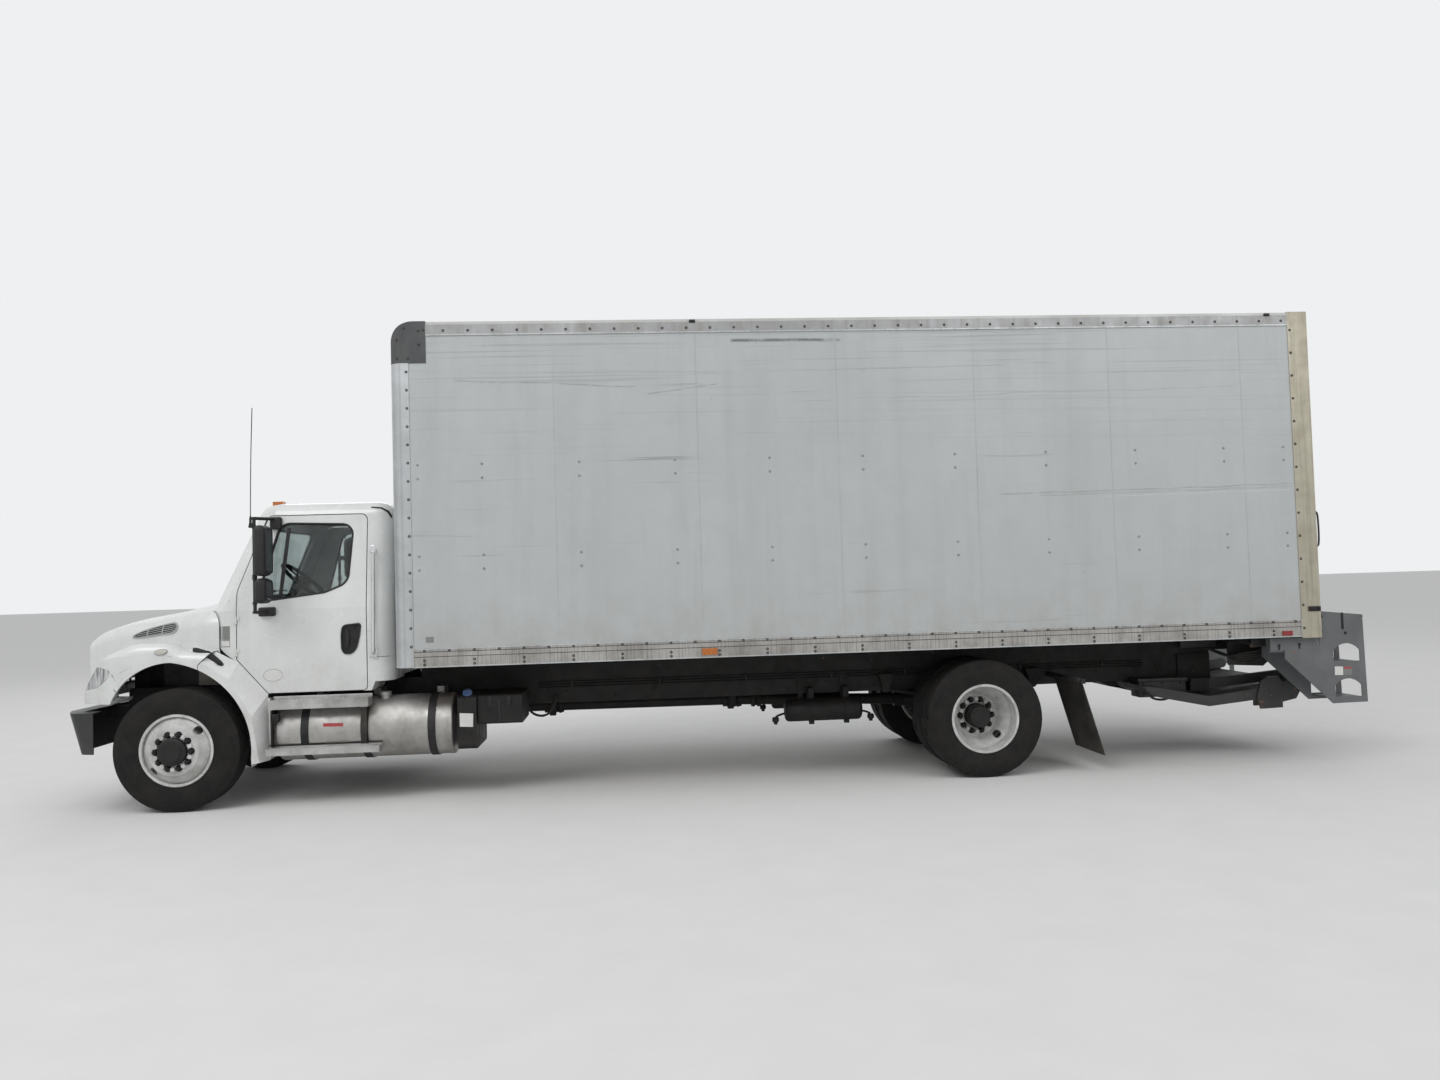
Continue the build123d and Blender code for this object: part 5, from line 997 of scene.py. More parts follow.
print("box trim ready")

# Rear door of the box: hinge rows, latch, pulls, seal
doorTrim = {"face": -9.806, "sections": 7, "low": 1.3, "high": 3.82, "hingeYs": (-0.95, -0.38, 0.38, 0.95)}
doorX = doorTrim["face"]
step = (doorTrim["high"] - doorTrim["low"]) / doorTrim["sections"]
hinge = [block((doorX - 0.004, -0.03, -0.036), (doorX + 0.001, 0.03, 0.036), 0.002),
         tube([(doorX - 0.005, -0.028, 0), (doorX - 0.005, 0.028, 0)], 0.006)]
hinge += [dome((doorX - 0.004, y, z), 0.005, 0.0025, "X", -1, 6)
          for y in (-0.02, 0.02) for z in (-0.026, 0.026)]
hinge = joined(hinge)
hinges = [copyOf(hinge, (0, y, doorTrim["low"] + number * step))
          for number in range(1, doorTrim["sections"]) for y in doorTrim["hingeYs"]]
dropped(hinge)
add(hinges, "doorHinges", "rivetMetal")
latch = [block((doorX - 0.012, -0.16, 1.42), (doorX + 0.001, 0.16, 1.56), 0.004),
         block((doorX - 0.032, -0.022, 1.40), (doorX - 0.010, 0.022, 1.60), 0.006),
         tube([(doorX - 0.03, 0, 1.575), (doorX - 0.052, 0.0, 1.575), (doorX - 0.052, 0.1, 1.575),
               (doorX - 0.052, 0.17, 1.56)], 0.010, 3),
         block((doorX - 0.02, -0.05, 1.325), (doorX - 0.002, 0.05, 1.41), 0.004)]
latch += [dome((doorX - 0.012, y, z), 0.008, 0.004, "X", -1) for y in (-0.14, 0.14) for z in (1.44, 1.54)]
add(latch, "doorLatch", "gatePaint")
pullPath = ((0.002, -0.07), (-0.03, -0.07), (-0.03, 0.07), (0.002, 0.07))
pulls = [tube([(doorX + out, y + across, 1.36) for out, across in pullPath], 0.007) for y in (-0.75, 0.75)]
add(pulls, "doorPulls", "rivetMetal")
seal = [block((doorX - 0.008, y - 0.012, 1.3), (doorX + 0.006, y + 0.012, 3.82), 0.004)
        for y in (1.188, -1.188)]
seal += [block((doorX - 0.008, -1.2, 3.802), (doorX + 0.006, 1.2, 3.826), 0.004),
         block((doorX - 0.010, -1.2, 1.296), (doorX + 0.006, 1.2, 1.322), 0.004)]
add(seal, "doorSeal", "flapRubber")
print("rear door trim ready")

# Tank: straps, welds, cap, blank red label
tankTrim = {"y": 0.84, "z": 0.61, "straps": (-1.014, -1.504, -2.057), "welds": (-0.806, -2.194, -1.52),
            "cap": (-1.637, 0.90, 0.900),
            "label": [(-1.166, 0.649), (-1.330, 0.645), (-1.330, 0.673), (-1.166, 0.677)]}
tankY, tankZ = tankTrim["y"], tankTrim["z"]


# Closed rings on X axes: one ring per station
def ringsAt(stations, rows, y, z, count):
    return [turned(rows, (ahead, y, z), "X", count, closed=True) for ahead in stations]


bands = ringsAt(tankTrim["straps"], [(0.2662, -0.032), (0.2690, -0.031), (0.2690, 0.031), (0.2662, 0.032)],
                tankY, tankZ, 72)
bands += [about(ahead, 0.026, (tankY + 0.262, tankY + 0.276), (tankZ - 0.03, tankZ + 0.03), 0.005)
          for ahead in tankTrim["straps"]]
add(bands, "tankStraps", "trimPlastic")
beads = ringsAt(tankTrim["welds"], [(0.2585, -0.005), (0.2615, -0.002), (0.2615, 0.002), (0.2585, 0.005)],
                tankY, tankZ, 72)
add(beads, "tankWelds", "tankMetal")
capX, capY, capZ = tankTrim["cap"]
cap = turned([(0.0535, -0.022), (0.0545, -0.004), (0.0520, 0.003), (0.046, 0.0045), (0.0001, 0.006)],
             tankTrim["cap"], "Z", 20)
grip = block((capX - 0.044, capY - 0.008, capZ + 0.003), (capX + 0.044, capY + 0.008, capZ + 0.010), 0.003)
add([cap, grip], "fuelCap", "stepMetal")
add(laidOn("fuel_tank", [placed(tankTrim["label"])], 0.0006), "tankLabel", "redLabel")

# Frame boxes: lid edge, catches, blank label, and the blue cap on the slanting face
boxesTrim = {"plate": [(-2.283, 0.718), (-2.405, 0.709), (-2.401, 0.597), (-2.280, 0.604)],
             "capSpot": (-2.352, 1.033, 0.874), "capLean": -36.87}
boxLid = [block((-2.813, 0.66, 0.812), (-2.435, 1.052, 0.821), 0.003),
          block((-2.56, 1.047, 0.755), (-2.52, 1.058, 0.846), 0.004),
          block((-2.72, 1.047, 0.755), (-2.68, 1.058, 0.846), 0.004),
          about(-2.62, 0.012, (1.045, 1.056), (0.620, 0.812), 0.003)]
add(boxLid, "batteryLid", "trimPlastic")
label = laidOn("frame_boxes", [placed(boxesTrim["plate"])], 0.0008)
add(label, "boxPlate", "blankLabel")
blue = joined([turned([(0.0395, 0.0), (0.0405, 0.014), (0.038, 0.021), (0.030, 0.023), (0.0001, 0.0235)],
                      (0, 0, 0), "Z", 22), block((-0.034, -0.006, 0.021), (0.034, 0.006, 0.034), 0.004)])
blue.rotation_euler = (math.radians(boxesTrim["capLean"]), 0, 0)
blue.location = spotAt(boxesTrim["capSpot"])
add(blue, "blueCap", "blueCap")

# Steps: grip buttons, edge strips, bolts. A step is its fore and aft end, inner and outer side, and top
stepTrim = {"upper": (-0.747, -1.557, 1.032, 1.172, 0.884), "lower": (-0.722, -1.645, 1.086, 1.186, 0.487)}
pitch, rowCount, boltCount = 0.032, 3, 5
button = [(0.0105, 0), (0.0095, 0.0028), (0.006, 0.0028), (0.0052, -0.001)]
for stepName, (fore, aft, inner, outer, top) in stepTrim.items():
    count = int((fore - aft - 0.06) / pitch)
    trim = []
    for row in range(rowCount):
        y = inner + (outer - inner) * (0.25 + 0.25 * row)
        first = turned(button, (fore - 0.035 - pitch / 2 * (row % 2), y, top), "Z", 8)
        trim.append(repeated(first, count, (-pitch, 0, 0)))
    for y, z in (((outer - 0.006, outer + 0.0025), (top - 0.004, top + 0.0025)),
                 ((inner - 0.003, inner + 0.003), (top - 0.002, top + 0.026))):
        trim.append(block((aft - 0.001, y[0], z[0]), (fore + 0.001, y[1], z[1]), 0.0015))
    gap = (fore - aft - 0.1) / (boltCount - 1)
    trim += [dome((fore - 0.05 - k * gap, outer + 0.0005, top - 0.02), 0.006, 0.003)
             for k in range(boltCount)]
    addPair(trim, "stepGrip_" + stepName, "stepMetal")
clip = [block((-0.821, 1.094, 0.706), (-0.757, 1.150, 0.775), 0.006),
        dome((-0.789, 1.15, 0.74), 0.009, 0.005)]
addPair(clip, "stepClip", "chassisPaint")
print("tank and steps ready")

# Mirrors: glass and its rims, clamps; the antenna on the left one
mirrorTrim = {"glassX": -0.819, "armX": -0.680, "armY": 1.25,
              "clamps": (1.625, 1.70, 1.905, 1.925, 2.33, 2.40),
              "heads": (((1.232, 1.412), (1.935, 2.320)), ((1.238, 1.406), (1.712, 1.892)))}
glassX, armX, armY = frontX + mirrorTrim["glassX"], mirrorTrim["armX"], mirrorTrim["armY"]
glassFaces, rims = [], []
for (inY, outY), (lowZ, highZ) in mirrorTrim["heads"]:
    inY, outY, lowZ, highZ = inY + 0.006, outY - 0.006, lowZ + 0.006, highZ - 0.006
    outer = rounded([(inY, lowZ), (outY, lowZ), (outY, highZ), (inY, highZ)], 0.045, 5)
    glassFaces.append(plate([inset(outer, 0.008)], "X", glassX - 0.001, 0.003))
    rims.append(plate([outer, inset(outer, 0.010)], "X", glassX - 0.002, 0.008, 0.002))
addPair(glassFaces, "mirrorGlass", "mirrorGlass", doorBoth)
rims += [block((-0.818, 0.955, 2.318), (-0.724, 1.020, 2.425), 0.018, 3),
         block((-0.790, 1.068, 1.586), (-0.650, 1.104, 1.662), 0.014, 3),
         tube([(-0.71, 1.09, 1.59), (-0.70, 1.09, 1.565)], 0.014)]
clampRows = [(0.0145, -0.012), (0.0195, -0.010), (0.0195, 0.010), (0.0145, 0.012)]
rims += [turned(clampRows, (armX, armY, z), "Z", 16, closed=True) for z in mirrorTrim["clamps"]]
addPair(rims, "mirrorRims", "trimPlastic", doorBoth)
whip = [(-0.652, armY, 2.36), (-0.655, armY, 2.6), (-0.664, armY, 3.0), (-0.677, armY, 3.318)]
spring = [(0.0001, 0), (0.013, 0.001), (0.013, 0.03), (0.009, 0.034), (0.011, 0.045), (0.009, 0.052),
          (0.011, 0.06), (0.009, 0.068), (0.006, 0.09), (0.0001, 0.091)]
antenna = [tube(whip, 0.0035, 3), turned(spring, (-0.652, armY, 2.33), "Z", 16),
           block((-0.695, 1.236, 2.322), (-0.638, 1.264, 2.345), 0.005)]
add(antenna, "antenna", "trimPlastic", "left_door")

# Cab outside: feet of the grab bars, seams, wipers, splash liner
feet = []
for z in (1.2465, 2.1240):
    outline = patch(-1.616, z - 0.034, -1.566, z + 0.034)
    feet.append(plate([rounded(outline, 0.016)], "Y", 1.0775, 0.005, 0.0015))
    feet += [dome((-1.591, 1.080, z + up), 0.0075, 0.005) for up in (0.024, -0.024)]
addPair(feet, "railFeet", "brightPlate")
seam = laidOn("cab_shell", [patch(-1.548, 1.2165, -1.733, 1.2125)], 0.0012, -0.0004)
addPair(seam, "cabSeam", "blackAndPaintedShade")
seal = [(-1.553, 2.500), (-1.640, 2.492), (-1.695, 2.462), (-1.728, 2.400), (-1.712, 2.398), (-1.682, 2.450),
        (-1.636, 2.478), (-1.553, 2.488)]
addPair(laidOn("cab_shell", [placed(seal)], 0.004, -0.001), "roofSeal", "trimPlastic")


def onWindscreen(y, z):
    return touch("cab_glass", (0.6, y, z), (-1, 0, 0))


wiperTrim = {"pivot": (0.30, 1.715), "armEnd": (0.6708, 1.79), "bladeEnds": ((0.78, 1.80), (0.12, 1.80)),
             "armRadius": 0.007, "bladeRadius": 0.0065}
wipers = []
for side in (1, -1):
    places = (wiperTrim["pivot"], wiperTrim["armEnd"], *wiperTrim["bladeEnds"])
    foot, tip, low, high = (onWindscreen(y * side, z) for y, z in places)
    if not all((foot, tip, low, high)):
        continue
    arm = [foot + Vector((0.05, 0, -0.02)), foot + Vector((0.055, 0, 0.02)),
           (foot + tip) / 2 + Vector((0.05, 0, 0.03)), (tip.x + 0.02, tip.y * 0.8, tip.z + 0.005)]
    wipers += [tube(arm, wiperTrim["armRadius"], 3),
               turned([(0.0001, 0.04), (0.012, 0.036), (0.02, 0.01), (0.022, -0.03)],
                      foot + Vector((0.05, 0, -0.01)), "Z", 16),
               tube([low + Vector((0.012, 0, 0)), (low + high) / 2 + Vector((0.016, 0, 0.004)),
                     high + Vector((0.012, 0, 0))], wiperTrim["bladeRadius"], 3)]
add(wipers, "wipers", "trimPlastic")

linerTrim = {"back": -0.297, "front": 0.033, "low": 0.999, "high": 1.163, "y": 0.60, "pitch": 0.048}
aft, fore, low, high = (linerTrim[key] for key in ("back", "front", "low", "high"))
y = linerTrim["y"]
sheet = [block((aft, y - 0.004, low), (fore, y, high), 0.001, 1)]
ribs = range(int((fore - aft) / linerTrim["pitch"]))
sheet += [about(aft + 0.024 + number * linerTrim["pitch"], 0.012, (y - 0.001, y + 0.006),
                (low + 0.012, high - 0.012), 0.003, 1) for number in ribs]
sheet += [block((aft, y - 0.03, low - 0.006), (fore, y + 0.008, low + 0.004), 0.002, 1),
          block((-0.25, 0.42, 1.10), (-0.20, 0.60, 1.13), 0.004, 1),
          block((-0.02, 0.42, 1.10), (0.02, 0.60, 1.13), 0.004, 1)]
addPair(sheet, "splashLiner", "linerPlastic")
print("cab outside ready")

# Dock steps: bolts, catch bar, three blank plates on the left one
dockTrim = {
    "face": 1.238,
    "bolts": [(-9.875, 1.295), (-9.868, 1.160), (-10.093, 1.141), (-9.471, 1.049), (-9.660, 1.054)],
    "pale": [(-9.979, 0.846), (-10.056, 0.843), (-10.054, 0.768), (-9.977, 0.770)],
    "dark": [(-10.061, 0.843), (-10.135, 0.841), (-10.133, 0.766), (-10.059, 0.768)],
    "band": [(-10.063, 0.841), (-10.133, 0.839), (-10.132, 0.822), (-10.062, 0.824)],
}
faceY = dockTrim["face"]
boltRows = [(0.0125, 0), (0.0125, 0.008), (0.010, 0.0095), (0.0001, 0.0095)]
heads = [turned(boltRows, (a, faceY - 0.001, z), "Y", 6) for a, z in dockTrim["bolts"]]
heads.append(block((-10.079, faceY - 0.001, 1.175), (-10.060, faceY + 0.007, 1.323), 0.003))
heads += [about(a, 0.006, (faceY - 0.001, faceY + 0.006), (z, z + 0.038), 0.002)
          for a, z in ((-9.470, 1.012), (-9.659, 1.016))]
addPair(heads, "dockBolts", "blackAndPaintedShade")
for key, out, thick, name, finish, slotName in (
        ("pale", 0.0006, 0.0012, "dockPlatePale", "blankLabel", "plate_grey"),
        ("dark", 0.0006, 0.0012, "dockPlateDark", "greyLabel", "trim_black"),
        ("band", 0.0014, 0.0008, "dockPlateBand", "redLabel", "lamp_red")):
    add(plate([placed(dockTrim[key])], "Y", faceY + out, thick), name, finish)
print("dock steps ready")

# Under the truck: spring bolts, brake chambers, pipes, clamps, shaft joints, flap bars
underTrim = {"springY": 0.47, "pipes": ((0.439, 0.842), (0.441, 0.866), (0.439, 0.890)),
             "clamps": (-3.2, -4.0, -4.8, -5.6, -6.3, -7.4, -8.2),
             "boltPairs": (-3.6, -4.4, -5.2, -6.0, -6.8, -7.6),
             "airTank": (0.501, 0.558), "airStraps": (-5.388, -5.714), "airEnds": ((-5.143, 1), (-5.855, -1)),
             "flapBar": (-7.672, -7.642)}


def boltHead(x, y, z):
    return turned([(0.012, 0), (0.012, 0.009), (0.012 * 0.8, 0.011), (0.0001, 0.011)], (x, y, z), "Y", 6)


pieces = []
y = underTrim["springY"]
for axleAt, low, high in ((0, 0.50, 0.70), (rearAt, 0.42, 0.80)):
    for x in (axleAt - 0.075, axleAt + 0.075):
        inner, outer = y - 0.048, y + 0.048
        pieces.append(tube([(x, inner, low), (x, inner, high), (x, outer, high), (x, outer, low)], 0.008))
        pieces += [turned([(0.014, 0), (0.014, -0.016), (0.0001, -0.018)], (x, nutY, low + 0.012), "Z", 6)
                   for nutY in (inner, outer)]
    pieces.append(about(axleAt, 0.10, (0.418, 0.522), (high - 0.01, high + 0.012), 0.005))
addPair(pieces, "springBolts", "chassisPaint")

chamber = turned([(0.0001, -0.10), (0.045, -0.098), (0.078, -0.07), (0.082, -0.045), (0.082, -0.01),
                  (0.089, -0.008), (0.089, 0.008), (0.082, 0.01), (0.082, 0.05), (0.070, 0.072),
                  (0.030, 0.08), (0.016, 0.082), (0.016, 0.14), (0.0001, 0.141)],
                 (rearAt + 0.24, 0.40, 0.60), "X", 28)
addPair([chamber, block((rearAt + 0.06, 0.37, 0.54), (rearAt + 0.28, 0.43, 0.56), 0.006)],
        "brakeChamber", "chassisPaint")

runs = [tube([(-2.9, y, z), (-6.2, y, z), (-8.6, y, z)], 0.007) for y, z in underTrim["pipes"]]
for ahead in underTrim["clamps"]:
    runs += [about(ahead, 0.012, (0.430, 0.452), (0.83, 0.905)), boltHead(ahead + 0.05, 0.431, 0.80)]
runs += [boltHead(ahead, 0.431, z) for ahead in underTrim["boltPairs"] for z in (0.75, 0.92)]
addPair(runs, "frameLines", "chassisPaint")

hose = [tube([(-2.78, 0.45, 0.735), (-2.795, 0.45, 0.66), (-2.86, 0.45, 0.598), (-2.95, 0.45, 0.585),
              (-3.02, 0.45, 0.64), (-3.05, 0.45, 0.73)], 0.011, 3, 3)]
fitting = [(0.017, -0.012), (0.019, -0.008), (0.019, 0.008), (0.014, 0.016)]
for ahead in (-2.78, -3.05):
    hose += [turned(fitting, (ahead, 0.45, 0.735), "Z", 6),
             about(ahead, 0.014, (0.43, 0.464), (0.74, 0.77))]
add(hose, "brakeLine", "flapRubber")

y, z = underTrim["airTank"]
band = [(0.1045, -0.024), (0.108, -0.023), (0.108, 0.023), (0.1045, 0.024)]
straps = ringsAt(underTrim["airStraps"], band, y, z, 40)
for ahead in underTrim["airStraps"]:
    straps += [about(ahead, 0.024, (0.49, 0.53), (0.425, 0.456), 0.005),
               about(ahead, 0.026, (0.44, 0.53), (0.655, 0.76), 0.006)]
for x, way in underTrim["airEnds"]:
    pipe = [(x - way * 0.01, y, 0.53), (x + way * 0.05, y, 0.525), (x + way * 0.085, y, 0.50)]
    straps += [tube(pipe, 0.010, 3),
               turned([(0.0001, 0.02), (0.026, 0.02), (0.031, 0.01), (0.031, -0.018), (0.018, -0.028),
                       (0.016, -0.045), (0.0001, -0.046)], (x + way * 0.088, y, 0.478), "Z", 14)]
addPair(straps, "airTankStraps", "chassisPaint")

joint = [(0.0535, -0.05), (0.072, -0.045), (0.078, -0.02), (0.060, 0.0), (0.078, 0.02), (0.072, 0.045),
         (0.0535, 0.05)]
joints = [turned(joint, (a, 0, z), "X", 24) for a, z in ((-3.03, 0.632), (-4.73, 0.624), (-4.93, 0.62))]
flange = [(0.090, -0.03), (0.098, -0.024), (0.098, 0.024), (0.090, 0.03)]
joints += ringsAt((-2.985, -4.685), flange, 0, 0.63, 24)
add(joints, "shaftJoints", "chassisPaint")
aft, fore = underTrim["flapBar"]
bar = [block((aft, 0.66, 0.782), (fore, 1.20, 0.822), 0.004)]
bar += [turned([(0.011, -0.02), (0.011, 0.02), (0.0001, 0.022)], (-7.655, y, 0.80), "X", 6)
        for y in (0.72, 0.86, 1.0, 1.14)]
addPair(bar, "flapBars", "gatePaint")
print("underbody ready")

# Lift gate: pivot bolts on the platform; pump box
gateTrim = {"hexX": -9.665, "hexHeights": (0.700, 0.585, 0.470), "sideY": 0.642}
sideY = gateTrim["sideY"]
gate = [turned([(0.034, 0), (0.034, 0.006), (0.022, 0.0065), (0.022, 0.018), (0.017, 0.021), (0.0001, 0.021)],
               (gateTrim["hexX"], sideY - 0.002, height), "Y", 18) for height in gateTrim["hexHeights"]]
gate.append(block((-9.70, sideY - 0.003, 0.447), (-9.56, sideY + 0.006, 0.56), 0.006))
addPair(gate, "gateBolts", "gatePaint", ("lift_platform", "lift_platform"))
pump = [block((-8.93, 0.445, 0.56), (-8.47, 0.62, 0.72), 0.012, 3),
        block((-8.94, 0.44, 0.70), (-8.46, 0.63, 0.735), 0.006),
        tube([(-8.60, 0.55, 0.58), (-8.62, 0.55, 0.53), (-8.80, 0.55, 0.52), (-8.95, 0.52, 0.62)], 0.011, 3)]
pump += [boltHead(a, 0.62, z) for a in (-8.52, -8.70, -8.88) for z in (0.59, 0.69)]
add(pump, "gatePump", "gatePaint")
print("lift gate ready")

# Seats: a sprung base, a leaning back and a head pad, pressed out by a short cloth run
seatTrim = {"middles": (0.52, -0.52), "lean": -13, "halfWidth": 0.232, "puff": 0.024, "headPuff": 0.014,
            "cell": 0.010, "pressure": 4, "frames": 20, "fill": 0.85}


# The run's own shape, with each vertex moved by no more than the cap
def puffed(piece, cap):
    applied(piece, "REMESH", mode="VOXEL", voxel_size=seatTrim["cell"])
    start = [spot.co.copy() for spot in piece.data.vertices]
    cloth = piece.modifiers.new("cloth", "CLOTH")
    cloth.settings.use_pressure = True
    cloth.settings.uniform_pressure_force = seatTrim["pressure"]
    cloth.settings.effector_weights.gravity = 0
    for number in range(1, seatTrim["frames"] + 1):
        scene.frame_set(number)
    pressed = piece.evaluated_get(bpy.context.evaluated_depsgraph_get())
    shape = [spot.co.copy() for spot in pressed.data.vertices]
    piece.modifiers.remove(cloth)
    scene.frame_set(1)
    for spot, begin, end in zip(piece.data.vertices, start, shape):
        move = end - begin
        spot.co = begin + move * min(1, cap / max(move.length, 1e-6))
    return applied(piece, "SUBSURF", levels=1, render_levels=1)


def leaning(piece):
    piece.rotation_euler = (0, math.radians(seatTrim["lean"]), 0)
    settle()
    return piece


for (sideName, side), middle in zip(sides, seatTrim["middles"]):
    low, high = middle - seatTrim["halfWidth"], middle + seatTrim["halfWidth"]
    base = [block((-1.475, low, 1.508), (-1.030, high, 1.578), 0.022, 3),
            block((-1.475, low - 0.012, 1.53), (-1.040, low + 0.055, 1.588), 0.02, 3),
            block((-1.475, high - 0.055, 1.53), (-1.040, high + 0.012, 1.588), 0.02, 3)]
    base = puffed(joined(base), seatTrim["puff"])
    back = [leaning(block((-1.570, low, 1.615), (-1.490, high, 2.090), 0.03, 3))]
    back += [leaning(block((-1.565, y - 0.03, 1.66), (-1.470, y + 0.03, 2.05), 0.022, 3))
             for y in (low + 0.02, high - 0.02)]
    back = puffed(joined(back), seatTrim["puff"])
    head = leaning(block((-1.640, middle - 0.125, 2.145), (-1.575, middle + 0.125, 2.290), 0.025, 3))
    pad = [base, back, puffed(head, seatTrim["headPuff"])]
    pad = add(pad, "seatPads_" + sideName, "seatCloth")
    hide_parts("seats")
    lift = []
    for k in range(8):  # folds of the sprung base, every second one smaller
        fold, foot = 0.01 * (k % 2), 1.088 + k * 0.052
        lift.append(block((-1.43 + fold, middle - 0.17 + fold, foot),
                          (-1.09 - fold, middle + 0.17 - fold, foot + 0.052), 0.012))
    lift += [tube([(-1.60, middle + y, 2.12), (-1.595, middle + y, 2.17)], 0.007) for y in (0.06, -0.06)]
    add(lift, "seatBase_" + sideName, "trimPlastic")
print("seats ready")

# Rear sill over the lift gate: a cross channel with ribs, hanger plates, cylinders and hoses
sillTrim = {"from": -9.645, "to": -9.300, "half": 1.10, "top": 1.236, "bottom": 1.03, "wall": 0.012,
            "ribs": (-1.07, -0.72, 0.72, 1.07), "arms": (0.50, -0.50), "hangerY": 0.70, "cylinderY": 0.62}
aft, fore, half = (sillTrim[key] for key in ("from", "to", "half"))
top, bottom, wall = (sillTrim[key] for key in ("top", "bottom", "wall"))
sill = [block((aft, -half, top - wall), (fore, half, top), 0.003, 1),
        block((aft, -half, bottom), (aft + wall, half, top), 0.003, 1),
        block((fore - wall, -half, bottom + 0.03), (fore, half, top), 0.003, 1),
        block((aft, -half, bottom), (aft + 0.11, half, bottom + wall), 0.003, 1)]
sill += [block((aft, y - 0.007, bottom), (fore, y + 0.007, top), 0.003, 1) for y in sillTrim["ribs"]]
sill += [block((-9.30, y - 0.007, 1.0), (-8.95, y + 0.007, top), 0.003, 1) for y in sillTrim["arms"]]
hanger = placed([(-9.30, 0.845), (-9.64, 0.825), (-9.73, 0.90), (-9.70, bottom + 0.01),
                 (-9.30, bottom + 0.05)])
for sideName, side in sides:
    y = side * sillTrim["cylinderY"]
    sill += [plate([hanger], "Y", side * sillTrim["hangerY"], 0.012, 0.002),
             tube([(-9.27, y, 0.90), (-9.60, y, 0.885)], 0.032, 2, 16),
             tube([(-9.55, y, 0.887), (-9.76, y, 0.878)], 0.018, 2, 12)]
add(sill, "gateSill", "gatePaint")
hoses = [tube([(-9.12, 0.62 + k * 0.02, 1.0), (-9.22, 0.73 + k * 0.02, 0.97 - k * 0.012),
               (-9.35, 0.76 + k * 0.02, 0.88 + k * 0.02), (-9.5, 0.77 + k * 0.015, 0.86 + k * 0.028),
               (-9.66, 0.75, 0.96 + k * 0.012), (-9.62, 0.68, 1.06)], 0.011, 3, 8) for k in range(5)]
add(hoses, "gateHoses", "flapRubber")
print("rear sill ready")

# Mirror bodies: tube arm, brackets and two rounded heads. A head is its low and high corner
mirrorForm = {"tube": 0.014, "round": 0.042, "corner": 0.05, "low": 1.625, "high": 2.40,
              "heads": (((-0.819, 1.222, 1.920), (-0.726, 1.432, 2.335)),
                        ((-0.819, 1.222, 1.696), (-0.726, 1.420, 1.903)))}
bend, lowZ, highZ = mirrorForm["corner"], mirrorForm["low"], mirrorForm["high"]
armPath = [(armX - 0.06, 1.05, lowZ), (armX - 0.01, armY - bend, lowZ), (armX, armY, lowZ),
           (armX, armY, lowZ + bend), (armX, armY, highZ - bend), (armX, armY, highZ),
           (armX - 0.01, armY - bend, highZ + 0.002), (armX - 0.09, 0.97, highZ + 0.008)]
arms = [tube(armPath, mirrorForm["tube"], 3, 12)]
for low, high in mirrorForm["heads"]:
    z = (low[2] + high[2]) / 2
    arms += [block(low, high, mirrorForm["round"], 5),
             block((high[0] - 0.02, armY - 0.018, z - 0.022), (armX, armY + 0.018, z + 0.022), 0.006)]
arms.append(block((armX - 0.09, 1.052, 1.590), (armX - 0.02, 1.086, 1.655), 0.008))
for piece, side in zip(addPair(arms, "mirrorBody", "trimPlastic", doorBoth), ("left", "right")):
    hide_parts("mirror_" + side)
print("mirrors ready")

# Floor, background and light: each lamp is (power, place, aim, width, height)
studio = {
    "floorColor": (0.8, 0.8, 0.79), "backColor": (0.86, 0.87, 0.88), "worldLight": 0.5, "sunPower": 0.45,
    "keyLamp": (820, (9, 11, 13), (1, 0, 1.5), 10, 7),
    "fillLamp": (380, (-10, 12, 9), (-1, 0, 1.5), 10, 7),
    "rimLamp": (420, (2, -13, 10), (0, 0, 1.5), 14, 6),
}


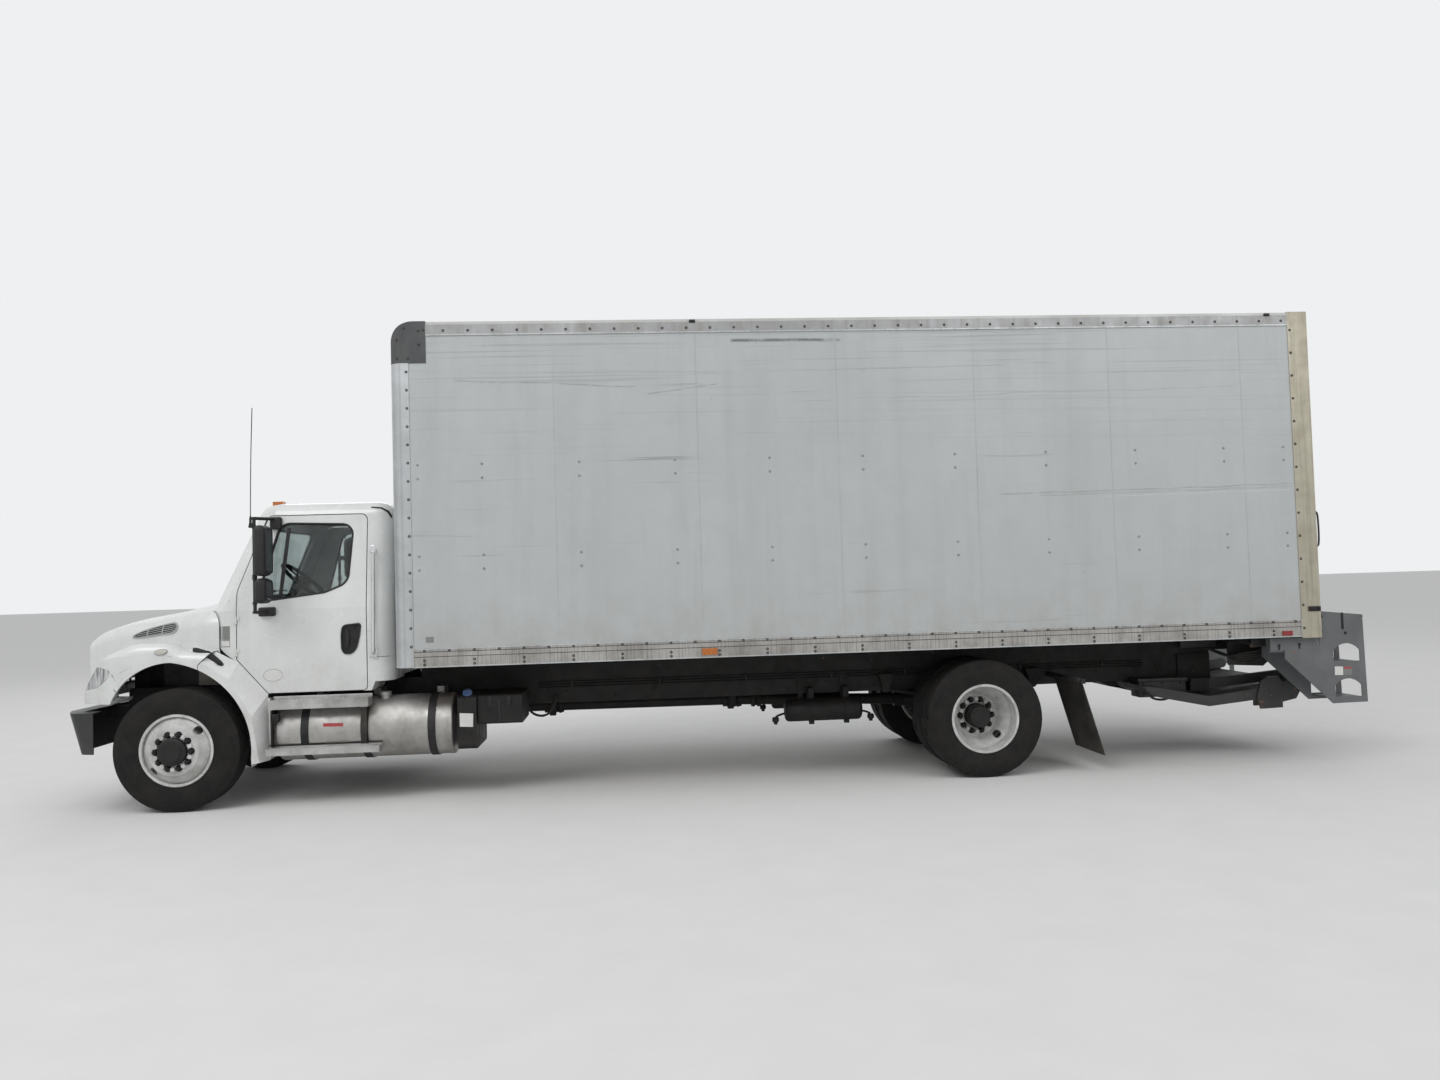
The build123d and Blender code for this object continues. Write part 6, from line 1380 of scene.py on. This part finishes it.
def paleFloor():
    bpy.ops.object.select_all(action="DESELECT")
    bpy.ops.mesh.primitive_plane_add(size=260, location=(0, 0, 0))
    floor = bpy.context.object
    floor.name = "studioFloor"
    mat, shader = newMaterial("studioFloor")
    darker = tuple(c * 0.95 for c in studio["floorColor"])
    speck = ramp(mat, noise(mat, 2.2, detail=8), [(0.3, studio["floorColor"]), (0.8, darker)])
    feed(mat, shader, {"Base Color": speck, "Roughness": 0.9})
    floor.data.materials.append(mat)


def lightOf(name, data):
    lamp = bpy.data.objects.new(name, data)
    scene.collection.objects.link(lamp)
    return lamp


paleFloor()
for name in ("keyLamp", "fillLamp", "rimLamp"):
    power, spot, aim, width, height = studio[name]
    data = bpy.data.lights.new(name, "AREA")
    data.energy, data.shape, data.size, data.size_y = power, "RECTANGLE", width, height
    lamp = lightOf(name, data)
    lamp.location = spot
    lamp.rotation_euler = (Vector(aim) - Vector(spot)).to_track_quat("-Z", "Y").to_euler()
data = bpy.data.lights.new("farLight", "SUN")
data.energy, data.angle = studio["sunPower"], math.radians(60)
lightOf("farLight", data).rotation_euler = (math.radians(-25), math.radians(10), 0)

# The background that is seen, mirrored or looked through is brighter than the light it gives
world = bpy.data.worlds.new("studioWorld")
scene.world = world
world.use_nodes = True
tree = world.node_tree


def worldNode(kind, values):
    node = addNode(world, kind)
    feed(world, node, values)
    return node


sky = tree.nodes["Background"]
feed(world, sky, {"Color": studio["backColor"], "Strength": studio["worldLight"]})
shown = worldNode("Background", {"Color": studio["backColor"], "Strength": 1.0})
rays = addNode(world, "LightPath").outputs
seen = maths(world, "MAXIMUM", rays["Is Camera Ray"], rays["Is Glossy Ray"])
seen = maths(world, "MAXIMUM", seen, rays["Is Transmission Ray"])
mixer = worldNode("MixShader", {"Fac": seen, 1: sky.outputs[0], 2: shown.outputs[0]})
feed(world, tree.nodes["World Output"], {"Surface": mixer.outputs[0]})
scene.view_settings.view_transform = "Standard"

# Camera at the photograph's place: metres and degrees
photoView = {"at": (0.8304, 10.2722, 1.7844), "turn": (92.111, 1.709, 175.633), "lens": 26.55, "sensor": 36}
cameraData = bpy.data.cameras.new("photoCamera")
cameraData.lens = photoView["lens"]
cameraData.sensor_width = photoView["sensor"]
camera = bpy.data.objects.new("photoCamera", cameraData)
scene.collection.objects.link(camera)
camera.location = photoView["at"]
camera.rotation_euler = [math.radians(a) for a in photoView["turn"]]
scene.camera = camera
print("stage and camera ready")
